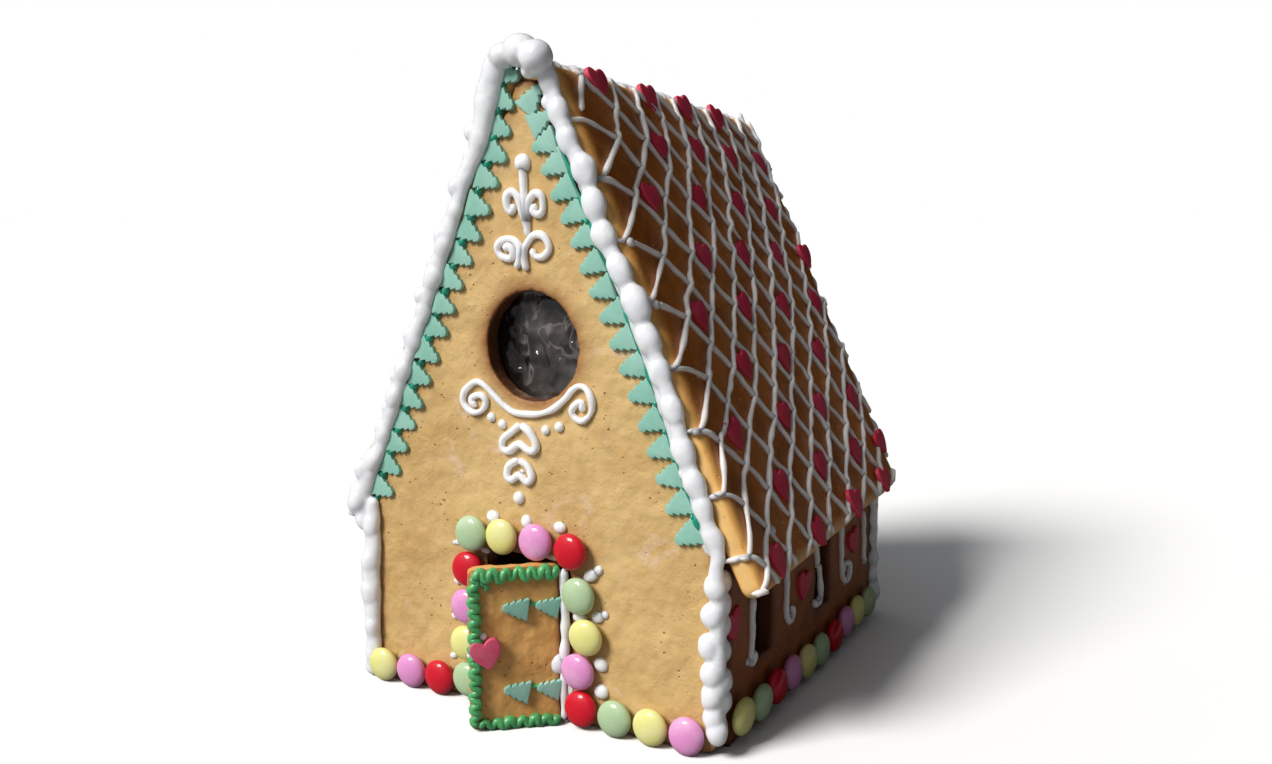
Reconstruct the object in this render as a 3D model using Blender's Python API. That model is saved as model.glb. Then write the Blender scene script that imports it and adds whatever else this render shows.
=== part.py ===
"""Gingerbread house: six baked panels, a door left ajar, piped icing and sugar-coated candies.

The house stands on its bottom edges, hollow and open below. Its front faces -Y, X runs along the
front, and +Z is up. The origin lies on the ground, midway between the two long walls and midway
between the open door's edge and the back, so the house itself sits HOUSE_SHIFT_Y behind it.
"""

import math
from dataclasses import dataclass

import bmesh
import bpy
from mathutils import Matrix, Vector

MM = 0.001  # the sizes below are in millimetres
GAP = 0.3  # clearance that touching pieces keep

# House body
HALF_DEPTH = 86.0
WALL = 8.0
HOUSE_SHIFT_Y = 7.45
PANEL_EDGE = 0.8  # rounding of the wall panels' edges
GABLE_CORNER = 8.0  # radius of the gables' two bottom corners

# Roof panels
ROOF_THICKNESS = 10.6
ROOF_ROUNDING = 4.9
ROOF_FRONT = -HALF_DEPTH
ROOF_BACK = HALF_DEPTH + 1.0

# Openings
WINDOW_CENTRE = (1.2, 146.3)  # round window in the front, x and z
WINDOW_RADIUS = 21.0
DOORWAY = (-22.0, 17.0, 64.0)  # left side, right side, top
SIDE_WINDOW_YS = (-46.0, 17.0)
SIDE_WINDOW_SIZE = (17.0, 31.0)
SIDE_WINDOW_BOTTOM = 26.0
FILM = 0.6
FILM_MARGIN = 3.0

# Door, hinged at its right edge and standing ajar
DOOR_HINGE = (14.2, -HALF_DEPTH - 2.2)
DOOR_ANGLE = math.radians(40.0)
DOOR_SIZE = (34.5, 7.0, 63.3)  # width, thickness, height

# Candies: sugar-coated lentils that stand on edge against the walls
CANDY_RADIUS = 7.3
CANDY_THICKNESS = 6.6
CANDY_STANDOFF = GAP + CANDY_THICKNESS / 2
SIDE_ROW_COUNT = 10
SIDE_ROW_START = -72.9
SIDE_ROW_PITCH = 15.75
LEFT_ROW_COUNT = 9
LEFT_ROW_START = -65.0

# Piped icing
ROPE_RADIUS = 5.2
ROPE_REACH = 7.0  # how far the ropes stand out from the gables
ROPE_RINGS = 26
ROPE_SIDES = 8
RIDGE_RADIUS = 4.0

COLOURS = {
    "biscuit": (0.60, 0.38, 0.17),
    "roof_biscuit": (0.50, 0.26, 0.08),
    "door_biscuit": (0.50, 0.25, 0.08),
    "icing": (0.86, 0.87, 0.90),
    "film": (0.12, 0.11, 0.11),
    "green": (0.36, 0.58, 0.30),
    "yellow": (0.85, 0.78, 0.20),
    "pink": (0.72, 0.24, 0.56),
    "red": (0.66, 0.01, 0.03),
}


@dataclass(frozen=True)
class GableLine:
    """The outline of one gable, which the walls and the roof panels follow.

    Attributes:
        half_width: distance from the middle to the straight side.
        shoulder: height where the straight side ends and the slope begins.
        apex: height where the two slopes would meet.
        ridge: height of the roof panels' outer top edge.
        eaves: heights of the right and the left roof panel's outer bottom edge.
    """

    half_width: float
    shoulder: float
    apex: float
    ridge: float
    eaves: tuple[float, float]

    @property
    def slope(self) -> float:
        """Angle of the roof to the horizontal."""
        return math.atan2(self.apex - self.shoulder, self.half_width)

    def edge_x(self, z: float) -> float:
        """Return the half width of the gable at height z."""
        return self.half_width - (z - self.shoulder) / math.tan(self.slope)

    def offset_point(self, z: float, offset: float) -> tuple[float, float]:
        """Return the point at height z on a line parallel to the slope, offset outwards."""
        return (self.edge_x(z) + offset / math.sin(self.slope), z)


# The house is hand-made: its back is a little narrower and lower than its front.
FRONT_LINE = GableLine(half_width=81.5, shoulder=75.3, apex=253.3, ridge=251.8, eaves=(63.0, 69.0))
BACK_LINE = GableLine(half_width=80.5, shoulder=70.0, apex=242.3, ridge=242.3, eaves=(67.9, 62.0))


def wall_x(y: float) -> float:
    """Return the half width of the house at depth y."""
    t = (y + HALF_DEPTH) / (2 * HALF_DEPTH)
    return FRONT_LINE.half_width * (1 - t) + BACK_LINE.half_width * t


def clear_scene() -> None:
    """Remove every object that the file already holds."""
    for obj in list(bpy.data.objects):
        bpy.data.objects.remove(obj, do_unlink=True)


def make_material(name: str, roughness: float) -> bpy.types.Material:
    """Return a Principled material in one of the named colours."""
    material = bpy.data.materials.new(name)
    material.use_nodes = True
    shader = material.node_tree.nodes["Principled BSDF"]
    shader.inputs["Base Color"].default_value = (*COLOURS[name], 1.0)
    shader.inputs["Roughness"].default_value = roughness
    shader.inputs["Metallic"].default_value = 0.0
    return material


def add_object(name: str, bm: bmesh.types.BMesh, material: bpy.types.Material) -> bpy.types.Object:
    """Link a new object that holds the given mesh, scaled from millimetres to metres."""
    bmesh.ops.recalc_face_normals(bm, faces=bm.faces)
    bmesh.ops.scale(bm, vec=(MM, MM, MM), verts=bm.verts)
    mesh = bpy.data.meshes.new(name)
    bm.to_mesh(mesh)
    bm.free()
    mesh.materials.append(material)
    obj = bpy.data.objects.new(name, mesh)
    obj.location.y = HOUSE_SHIFT_Y * MM
    bpy.context.collection.objects.link(obj)
    return obj


def loft(front: list, back: list, y_front: float, y_back: float) -> bmesh.types.BMesh:
    """Extrude a profile of (x, z) points along Y, and move its far end onto a second profile."""
    bm = bmesh.new()
    start = [bm.verts.new((x, y_front, z)) for x, z in front]
    face = bm.faces.new(start)
    extruded = bmesh.ops.extrude_face_region(bm, geom=[face], use_keep_orig=True)
    moved = [item for item in extruded["geom"] if isinstance(item, bmesh.types.BMVert)]
    for vert in moved:
        index = min(range(len(front)), key=lambda i: (start[i].co - vert.co).length)
        vert.co = Vector((back[index][0], y_back, back[index][1]))
    return bm


def box(x: tuple, y: tuple, z: tuple) -> bmesh.types.BMesh:
    """Return a box between the given pairs of coordinates."""
    bm = bmesh.new()
    bmesh.ops.create_cube(bm, size=1.0)
    bmesh.ops.scale(bm, vec=(x[1] - x[0], y[1] - y[0], z[1] - z[0]), verts=bm.verts)
    centre = ((x[0] + x[1]) / 2, (y[0] + y[1]) / 2, (z[0] + z[1]) / 2)
    bmesh.ops.translate(bm, vec=centre, verts=bm.verts)
    return bm


def hide_tool(obj: bpy.types.Object) -> bpy.types.Object:
    """Mark an object as a cutter, which isn't part of the model."""
    obj.hide_render = True
    obj.display_type = "WIRE"
    return obj


def cut(obj: bpy.types.Object, tool: bpy.types.Object) -> None:
    """Subtract a cutter from an object."""
    modifier = obj.modifiers.new("cut_" + tool.name, "BOOLEAN")
    modifier.operation = "DIFFERENCE"
    modifier.solver = "EXACT"
    modifier.object = tool


def round_edges(obj: bpy.types.Object, width: float, segments: int) -> None:
    """Bevel the sharp edges of a panel."""
    modifier = obj.modifiers.new("rounding", "BEVEL")
    modifier.width = width * MM
    modifier.segments = segments
    modifier.limit_method = "ANGLE"
    modifier.angle_limit = math.radians(30.0)


def gable_profile(line: GableLine, blunt: float) -> list:
    """Return a gable's outline: round bottom corners, and its tip cut off level below the apex."""
    top = line.apex - blunt
    steps = 4
    right = []
    for i in range(steps + 1):
        angle = math.pi / 2 * i / steps
        right.append((line.half_width - GABLE_CORNER * (1 - math.sin(angle)),
                      GABLE_CORNER * (1 - math.cos(angle))))
    right += [(line.half_width, line.shoulder), (line.edge_x(top), top)]
    return right + [(-x, z) for x, z in reversed(right)]


def build_gables(biscuit: bpy.types.Material) -> None:
    """Make the two pointed end panels, the front one with its round window and doorway."""
    blunt = 8.2
    front = gable_profile(FRONT_LINE, blunt)
    gable = add_object("front_gable", loft(front, front, -HALF_DEPTH, WALL - HALF_DEPTH), biscuit)
    round_edges(gable, PANEL_EDGE, 1)

    disc = bmesh.new()
    bmesh.ops.create_cone(disc, cap_ends=True, segments=32, radius1=WINDOW_RADIUS,
                          radius2=WINDOW_RADIUS, depth=4 * WALL)
    bmesh.ops.rotate(disc, cent=(0, 0, 0), matrix=Matrix.Rotation(math.pi / 2, 3, "X"), verts=disc.verts)
    bmesh.ops.translate(disc, vec=(WINDOW_CENTRE[0], -HALF_DEPTH, WINDOW_CENTRE[1]), verts=disc.verts)
    cut(gable, hide_tool(add_object("window_cutter", disc, biscuit)))

    left, right, top = DOORWAY
    doorway = box((left, right), (-HALF_DEPTH - WALL, 2 * WALL - HALF_DEPTH), (-WALL, top))
    cut(gable, hide_tool(add_object("doorway_cutter", doorway, biscuit)))

    back = gable_profile(BACK_LINE, blunt)
    gable = add_object("back_gable", loft(back, back, HALF_DEPTH - WALL, HALF_DEPTH), biscuit)
    round_edges(gable, PANEL_EDGE, 1)


def build_side_walls(biscuit: bpy.types.Material) -> None:
    """Make the two long walls, their tops sloped to the roof, each with two windows."""
    y_end = HALF_DEPTH - WALL - GAP
    for side, name in ((1.0, "right_wall"), (-1.0, "left_wall")):
        profiles = []
        for line, y in ((FRONT_LINE, -y_end), (BACK_LINE, y_end)):
            outer = wall_x(y)
            inner = outer - WALL
            top_inner = line.shoulder + WALL * math.tan(line.slope)
            profiles.append([(side * inner, 0.0), (side * outer, 0.0),
                             (side * outer, line.shoulder), (side * inner, top_inner)])
        wall = add_object(name, loft(profiles[0], profiles[1], -y_end, y_end), biscuit)
        round_edges(wall, PANEL_EDGE, 1)
        for index, y in enumerate(SIDE_WINDOW_YS):
            width, height = SIDE_WINDOW_SIZE
            bottom = SIDE_WINDOW_BOTTOM
            tool = box((side * wall_x(y) - 2 * WALL, side * wall_x(y) + 2 * WALL),
                       (y - width / 2, y + width / 2), (bottom, bottom + height))
            cut(wall, hide_tool(add_object(f"{name}_cutter_{index}", tool, biscuit)))


def build_films(film: bpy.types.Material) -> None:
    """Make the window panes, sheets of film stuck to the inside of the walls."""
    reach = WINDOW_RADIUS + FILM_MARGIN
    y = WALL + GAP - HALF_DEPTH
    x, z = WINDOW_CENTRE
    add_object("round_pane", box((x - reach, x + reach), (y, y + FILM), (z - reach, z + reach)), film)
    width, height = SIDE_WINDOW_SIZE
    for side, name in ((1.0, "right_pane"), (-1.0, "left_pane")):
        for index, centre in enumerate(SIDE_WINDOW_YS):
            ys = (centre - width / 2 - FILM_MARGIN, centre + width / 2 + FILM_MARGIN)
            outer = wall_x(ys[1]) - WALL - GAP
            xs = sorted((side * outer, side * (outer - FILM)))
            zs = (SIDE_WINDOW_BOTTOM - FILM_MARGIN, SIDE_WINDOW_BOTTOM + height + FILM_MARGIN)
            add_object(f"{name}_{index + 1}", box(xs, ys, zs), film)


def roof_profile(line: GableLine, side: float) -> list:
    """Return the section of one roof panel where it lies on a gable."""
    eave = line.eaves[0 if side > 0 else 1]
    outer = [line.offset_point(z, GAP + ROOF_THICKNESS) for z in (eave, line.ridge)]
    inward = Vector((-math.sin(line.slope), -math.cos(line.slope))) * ROOF_THICKNESS
    inner = [(x + inward.x, z + inward.y) for x, z in outer]
    return [(side * x, z) for x, z in (outer[0], outer[1], inner[1], inner[0])]


def build_roof(biscuit: bpy.types.Material) -> None:
    """Make the two roof panels, with their round edges."""
    for side, name in ((1.0, "right_roof"), (-1.0, "left_roof")):
        bm = loft(roof_profile(FRONT_LINE, side), roof_profile(BACK_LINE, side), ROOF_FRONT, ROOF_BACK)
        round_edges(add_object(name, bm, biscuit), ROOF_ROUNDING, 3)


def build_door(biscuit: bpy.types.Material) -> None:
    """Make the door, turned about its hinge edge and standing on the ground."""
    width, thickness, height = DOOR_SIZE
    bm = box((-width, 0.0), (0.0, thickness), (0.0, height))
    bmesh.ops.rotate(bm, cent=(0, 0, 0), matrix=Matrix.Rotation(DOOR_ANGLE, 3, "Z"), verts=bm.verts)
    bmesh.ops.translate(bm, vec=(*DOOR_HINGE, 0.0), verts=bm.verts)
    round_edges(add_object("door", bm, biscuit), 1.6, 2)


def beaded_rope(start: Vector, end: Vector, sways: tuple, beads: int, flip: float) -> bmesh.types.BMesh:
    """Return a beaded rope that lies flat on a gable.

    Args:
        start: centre of its upper end, on the face it lies on.
        end: centre of its lower end.
        sways: sideways offsets along the rope, evenly spaced and blended into each other.
        beads: number of swellings.
        flip: -1 where the rope stands out towards -Y, and 1 towards +Y.
    """
    along = end - start
    side = Vector((along.z, 0.0, -along.x)).normalized()
    if side.x * end.x < 0:
        side.negate()
    out = Vector((0.0, flip, 0.0))
    bm = bmesh.new()
    rings = []
    for i in range(ROPE_RINGS + 1):
        t = i / ROPE_RINGS
        place = t * (len(sways) - 1)
        low = min(int(place), len(sways) - 2)
        blend = 0.5 - 0.5 * math.cos(math.pi * (place - low))
        sway = sways[low] * (1 - blend) + sways[low + 1] * blend
        swell = 1.0 + 0.10 * math.cos(2 * math.pi * beads * t)
        taper = min(1.0, 0.45 + 5.0 * min(t, 1.0 - t))
        radius = ROPE_RADIUS * swell * taper
        ring = []
        for k in range(ROPE_SIDES):
            angle = math.pi * k / (ROPE_SIDES - 1)
            offset = side * (sway + radius * math.cos(angle))
            offset += out * (ROPE_REACH * swell * taper * math.sin(angle))
            ring.append(bm.verts.new(start + along * t + offset))
        rings.append([bm.edges.new((ring[k], ring[(k + 1) % ROPE_SIDES])) for k in range(ROPE_SIDES)])
    for first, second in zip(rings, rings[1:]):
        bmesh.ops.bridge_loops(bm, edges=first + second)
    for ends in (rings[0], rings[-1]):
        bmesh.ops.contextual_create(bm, geom=ends)
    return bm


def build_ropes(icing: bpy.types.Material) -> None:
    """Make the ropes of icing over the panels' joints on both gables, and the blobs at the peaks."""
    sides = (
        ("right", 1.0, (2.2, -0.6, 0.0, 2.6, 3.2, -2.4), 0.0),
        ("left", -1.0, (2.6, 1.4, 1.4, 0.6, 0.0, -1.0), -7.0),
    )
    gables = (
        ("front", FRONT_LINE, -HALF_DEPTH - GAP, -1.0, (12.0, 8.5, 8.6), (3.5, 0.5)),
        ("back", BACK_LINE, ROOF_BACK + GAP, 1.0, (8.5, 6.5, 6.5), (0.0, -2.0)),
    )
    for end, line, y, flip, peak_size, peak_offset in gables:
        for name, side, sways, drop in sides:
            ends = []
            for z in (line.ridge - 6.5, line.shoulder + drop):
                x, _ = line.offset_point(z, 6.0)
                ends.append(Vector((side * x, y, z)))
            bm = beaded_rope(ends[0], ends[1], sways, 13, flip)
            add_object(f"{end}_rope_{name}", bm, icing)

        blob = bmesh.new()
        bmesh.ops.create_uvsphere(blob, u_segments=14, v_segments=10, radius=1.0)
        bmesh.ops.bisect_plane(blob, geom=blob.verts[:] + blob.edges[:] + blob.faces[:], dist=1e-5,
                               plane_co=(0, 0, 0), plane_no=(0, -flip, 0), clear_outer=True)
        rim = [edge for edge in blob.edges if edge.is_boundary]
        bmesh.ops.contextual_create(blob, geom=rim)
        bmesh.ops.scale(blob, vec=peak_size, verts=blob.verts)
        centre = (peak_offset[0], y, line.ridge + peak_offset[1])
        bmesh.ops.translate(blob, vec=centre, verts=blob.verts)
        add_object(f"{end}_peak", blob, icing)


def round_tube(points: list, radii: list, sides: int) -> bmesh.types.BMesh:
    """Return a tube through the given centres, with a radius at each of them."""
    bm = bmesh.new()
    rings = []
    for index, (point, radius) in enumerate(zip(points, radii)):
        before = points[max(index - 1, 0)]
        after = points[min(index + 1, len(points) - 1)]
        turn = (after - before).to_track_quat("Z", "Y").to_matrix().to_4x4()
        ring = bmesh.ops.create_circle(bm, segments=sides, radius=radius,
                                       matrix=Matrix.Translation(point) @ turn)
        edges = {edge for vert in ring["verts"] for edge in vert.link_edges}
        rings.append(list(edges))
    for first, second in zip(rings, rings[1:]):
        bmesh.ops.bridge_loops(bm, edges=first + second)
    for ends in (rings[0], rings[-1]):
        bmesh.ops.contextual_create(bm, geom=ends)
    return bm


def build_ridge(icing: bpy.types.Material) -> None:
    """Make the bead of icing that fills the groove between the roof panels."""
    rings = 24
    points, radii = [], []
    for i in range(rings + 1):
        t = i / rings
        ridge = FRONT_LINE.ridge * (1 - t) + BACK_LINE.ridge * t
        y = ROOF_FRONT * (1 - t) + ROOF_BACK * t
        points.append(Vector((0.0, y, ridge - 0.4)))
        radii.append(RIDGE_RADIUS * (1.0 + 0.10 * math.cos(2 * math.pi * 9 * t)))
    add_object("ridge_icing", round_tube(points, radii, 8), icing)


def build_corners(icing: bpy.types.Material, tool_material: bpy.types.Material) -> None:
    """Make the icing that covers the four upright corners, cut to sit against the walls."""
    profiles = []
    for line in (FRONT_LINE, BACK_LINE):
        grown = line.half_width + GAP
        profiles.append([(grown, -WALL), (grown, line.apex), (-grown, line.apex), (-grown, -WALL)])
    block = loft(profiles[0], profiles[1], -HALF_DEPTH - GAP, HALF_DEPTH + GAP)
    tool = hide_tool(add_object("corner_cutter", block, tool_material))
    rings, beads = 18, 8
    # name, side, gable side, offsets of the foot's and the top's centre from the corner, their heights
    corners = (
        ("front_right_corner", 1, -1, (0.8, 0.8), (-3.0, -3.0), (6.0, FRONT_LINE.shoulder - 11.5)),
        ("front_left_corner", -1, -1, (4.4, -4.2), (-1.6, -2.8), (3.0, FRONT_LINE.shoulder - 14.5)),
        ("back_right_corner", 1, 1, (1.2, 1.2), (-2.0, -2.0), (4.0, BACK_LINE.shoulder - 13.5)),
        ("back_left_corner", -1, 1, (1.2, 1.2), (-2.0, -2.0), (4.0, BACK_LINE.shoulder - 13.5)),
    )
    for name, x_side, y_side, foot, top, heights in corners:
        points, radii = [], []
        for i in range(rings + 1):
            t = i / rings
            rise = min(1.0, max(0.0, (t - 0.22) / 0.12))
            dx = foot[0] * (1 - rise) + top[0] * rise
            dy = foot[1] * (1 - rise) + top[1] * rise
            x = wall_x(y_side * HALF_DEPTH) + dx
            z = heights[0] * (1 - t) + heights[1] * t
            points.append(Vector((x_side * x, y_side * (HALF_DEPTH + dy), z)))
            radius = 3.8 * (1 - rise) + 7.6 * rise
            radii.append(radius * (1.0 + 0.07 * math.cos(2 * math.pi * beads * t)))
        cut(add_object(name, round_tube(points, radii, 12), icing), tool)


def candy_mesh() -> bpy.types.Mesh:
    """Return the lentil that all candies share, lying flat with its centre at the origin."""
    bm = bmesh.new()
    bmesh.ops.create_uvsphere(bm, u_segments=12, v_segments=6, radius=1.0)
    scale = (CANDY_RADIUS * MM, CANDY_RADIUS * MM, CANDY_THICKNESS / 2 * MM)
    bmesh.ops.scale(bm, vec=scale, verts=bm.verts)
    mesh = bpy.data.meshes.new("candy")
    bm.to_mesh(mesh)
    bm.free()
    mesh.materials.append(None)
    mesh.shade_smooth()
    return mesh


def place_candy(name: str, mesh: bpy.types.Mesh, material: bpy.types.Material,
                position: tuple, axis: str) -> None:
    """Add one candy that stands on edge, its flat side facing along the given axis."""
    obj = bpy.data.objects.new(name, mesh)
    obj.location = (position[0] * MM, (position[1] + HOUSE_SHIFT_Y) * MM, position[2] * MM)
    quarter = math.pi / 2
    obj.rotation_euler = (quarter, 0.0, 0.0) if axis == "Y" else (0.0, quarter, 0.0)
    obj.material_slots[0].link = "OBJECT"
    obj.material_slots[0].material = material
    bpy.context.collection.objects.link(obj)


def build_candies(palette: dict) -> None:
    """Make the candies round the doorway, along the front's foot and along both long walls."""
    mesh = candy_mesh()
    low = CANDY_RADIUS + 0.1
    front = (
        ("front_left", ((-75.1, low), (-60.1, low), (-45.1, low)), "yellow pink red"),
        ("left_jamb", ((-30.4, 9.4), (-30.9, 24.7), (-30.5, 40.0), (-29.0, 55.8)), "green yellow pink red"),
        ("lintel", ((-26.9, 70.6), (-12.1, 71.2), (4.0, 71.2), (19.8, 69.6)), "green yellow pink red"),
        ("right_jamb", ((23.9, 8.2), (22.7, 22.8), (26.4, 37.1), (23.3, 52.8)), "red pink yellow green"),
        ("front_right", ((38.9, low), (54.4, low), (69.7, low)), "green yellow pink"),
    )
    for group, places, colours in front:
        for index, ((x, z), colour) in enumerate(zip(places, colours.split())):
            position = (x, -HALF_DEPTH - CANDY_STANDOFF, z)
            place_candy(f"{group}_candy_{index + 1}", mesh, palette[colour], position, "Y")

    right_colours = "yellow green red pink yellow green red pink yellow green".split()
    right_sways = (0.0, 1.0, 0.0, 0.3, 0.8, 1.0, 2.0, 1.0, 0.0, 0.2)
    lift = (4.2, 3.0, 4.0, 3.6, 2.6, 2.0, 2.6, 4.2, 4.6, 4.2)
    for index in range(SIDE_ROW_COUNT):
        y = SIDE_ROW_START + SIDE_ROW_PITCH * index + right_sways[index]
        position = (wall_x(y) + CANDY_STANDOFF, y, low + lift[index])
        place_candy(f"right_row_candy_{index + 1}", mesh, palette[right_colours[index]], position, "X")

    left_colours = "pink yellow green red pink yellow green red yellow".split()
    for index in range(LEFT_ROW_COUNT):
        y = LEFT_ROW_START + SIDE_ROW_PITCH * index
        position = (-wall_x(y) - CANDY_STANDOFF, y, low + 1.5 + 1.2 * math.sin(2.1 * index))
        place_candy(f"left_row_candy_{index + 1}", mesh, palette[left_colours[index]], position, "X")


def main() -> None:
    """Build the whole house."""
    clear_scene()
    rough, glossy = 0.75, 0.25
    biscuit = make_material("biscuit", rough)
    icing = make_material("icing", glossy)
    build_gables(biscuit)
    build_side_walls(biscuit)
    build_films(make_material("film", glossy))
    build_roof(make_material("roof_biscuit", rough))
    build_door(make_material("door_biscuit", rough))
    build_ropes(icing)
    build_ridge(icing)
    build_corners(icing, biscuit)
    palette = {name: make_material(name, glossy) for name in ("green", "yellow", "pink", "red")}
    build_candies(palette)


main()
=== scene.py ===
"""Looks of a hollow gingerbread house: baked panels, piped icing, sugar trees and hearts, candies.

Sizes are in millimetres, in the frame's axes: X along the front, Y from front to back, Z up.
Every finished piece stands in the frame in metres, with its place in its mesh.
"""

import logging
import math
import random
from collections.abc import Callable, Iterable, Sequence
from dataclasses import dataclass
from enum import Enum, IntEnum

import bmesh
import bpy
import numpy as np
from mathutils import Matrix, Vector, noise
from mathutils.bvhtree import BVHTree


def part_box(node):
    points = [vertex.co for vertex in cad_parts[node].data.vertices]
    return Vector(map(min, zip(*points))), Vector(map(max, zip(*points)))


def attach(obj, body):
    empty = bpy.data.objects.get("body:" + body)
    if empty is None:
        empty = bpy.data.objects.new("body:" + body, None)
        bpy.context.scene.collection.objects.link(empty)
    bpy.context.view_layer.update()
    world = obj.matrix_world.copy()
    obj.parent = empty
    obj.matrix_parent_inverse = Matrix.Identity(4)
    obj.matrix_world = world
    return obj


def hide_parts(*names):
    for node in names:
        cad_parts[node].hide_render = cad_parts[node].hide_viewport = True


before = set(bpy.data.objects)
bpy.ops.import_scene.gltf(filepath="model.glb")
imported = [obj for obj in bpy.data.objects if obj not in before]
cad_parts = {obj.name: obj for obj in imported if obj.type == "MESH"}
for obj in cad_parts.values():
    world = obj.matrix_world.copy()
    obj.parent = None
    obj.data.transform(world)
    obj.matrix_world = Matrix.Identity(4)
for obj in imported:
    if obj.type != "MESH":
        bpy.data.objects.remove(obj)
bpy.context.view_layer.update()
log = logging.getLogger("gingerbread_house")

MM = 0.001
BODY = "root"
UP = Vector((0.0, 0.0, 1.0))
RIGHT = Vector((1.0, 0.0, 0.0))
BACK = Vector((0.0, 1.0, 0.0))
FAR = 120.0  # how far outside a face its rays start
COARSE = 1.0
END = {False: "front", True: "back"}  # the names of the house's ends
SIDE = {1: "right", -1: "left"}  # the names of its long sides, by their direction along X

Colour = tuple[float, float, float]
Point2 = tuple[float, float]
Point3 = tuple[float, float, float]


class Seed(IntEnum):
    """What starts the random differences of each kind of thing; some count on from theirs."""

    BLOBS = 4
    NOISE = 5  # without it noise.noise_vector is different in every run
    ENDS = 11
    RIDGE = 13
    TREES = 21
    GLUE = 22
    GRASS = 23
    DOOR = 31
    ROOFS = 41
    DRIPS = 51
    WALLS = 61
    GABLES = 71
    CANDIES = 81


# ---------------- shader maths


class Value:
    """A number that a material works out at each point of a surface."""

    def __init__(self, nodes: "Nodes", socket: bpy.types.NodeSocket) -> None:
        """Wrap one output socket of a material's nodes."""
        self.nodes = nodes
        self.socket = socket

    def _math(self, operation: str, first: object, second: object) -> "Value":
        """Return the result of a Math node on two values or numbers."""
        node = self.nodes.make("ShaderNodeMath", {0: first, 1: second}, operation=operation)
        return Value(self.nodes, node.outputs[0])

    def __add__(self, other: object) -> "Value":
        """Return the sum."""
        return self._math("ADD", self, other)

    def __radd__(self, other: object) -> "Value":
        """Return the sum with a number on the left."""
        return self._math("ADD", other, self)

    def __sub__(self, other: object) -> "Value":
        """Return the difference."""
        return self._math("SUBTRACT", self, other)

    def __rsub__(self, other: object) -> "Value":
        """Return the difference with a number on the left."""
        return self._math("SUBTRACT", other, self)

    def __mul__(self, other: object) -> "Value":
        """Return the product."""
        return self._math("MULTIPLY", self, other)

    def __rmul__(self, other: object) -> "Value":
        """Return the product with a number on the left."""
        return self._math("MULTIPLY", other, self)

    def step(self, low: float, high: float) -> "Value":
        """Return a smooth step from 0 at low to 1 at high; low may be above high."""
        inputs = {"Value": self, "From Min": low, "From Max": high}
        node = self.nodes.make("ShaderNodeMapRange", inputs, interpolation_type="SMOOTHSTEP")
        return Value(self.nodes, node.outputs[0])


class Graph:
    """A node tree that is built up from nothing."""

    def __init__(self, tree: bpy.types.NodeTree) -> None:
        """Empty the tree."""
        self.tree = tree
        tree.nodes.clear()

    def make(self, kind: str, inputs: dict | None = None, **settings: object) -> bpy.types.Node:
        """Add a node.

        Args:
            kind: the node's type name.
            inputs: numbers, vectors, sockets or Values for its inputs, by name or index.
            **settings: its own properties, which are set before its inputs.

        Returns:
            The new node.
        """
        node = self.tree.nodes.new(kind)
        for key, value in settings.items():
            setattr(node, key, value)
        for key, value in (inputs or {}).items():
            self.feed(node.inputs[key], value)
        return node

    def feed(self, socket: bpy.types.NodeSocket, value: object) -> None:
        """Give a socket a link or a fixed value."""
        if isinstance(value, Value):
            value = value.socket
        if isinstance(value, bpy.types.NodeSocket):
            self.tree.links.new(value, socket)
        elif isinstance(value, tuple) and len(value) == 3 and socket.type == "RGBA":
            socket.default_value = (*value, 1.0)
        else:
            socket.default_value = value

    def by_ray(self, seen: bpy.types.Node, met: bpy.types.Node) -> bpy.types.NodeSocket:
        """Return a shader that the camera sees as one thing, and every other ray meets as another."""
        rays = self.make("ShaderNodeLightPath").outputs["Is Camera Ray"]
        mixed = self.make("ShaderNodeMixShader", {0: rays, 1: met.outputs[0], 2: seen.outputs[0]})
        return mixed.outputs[0]


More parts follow.
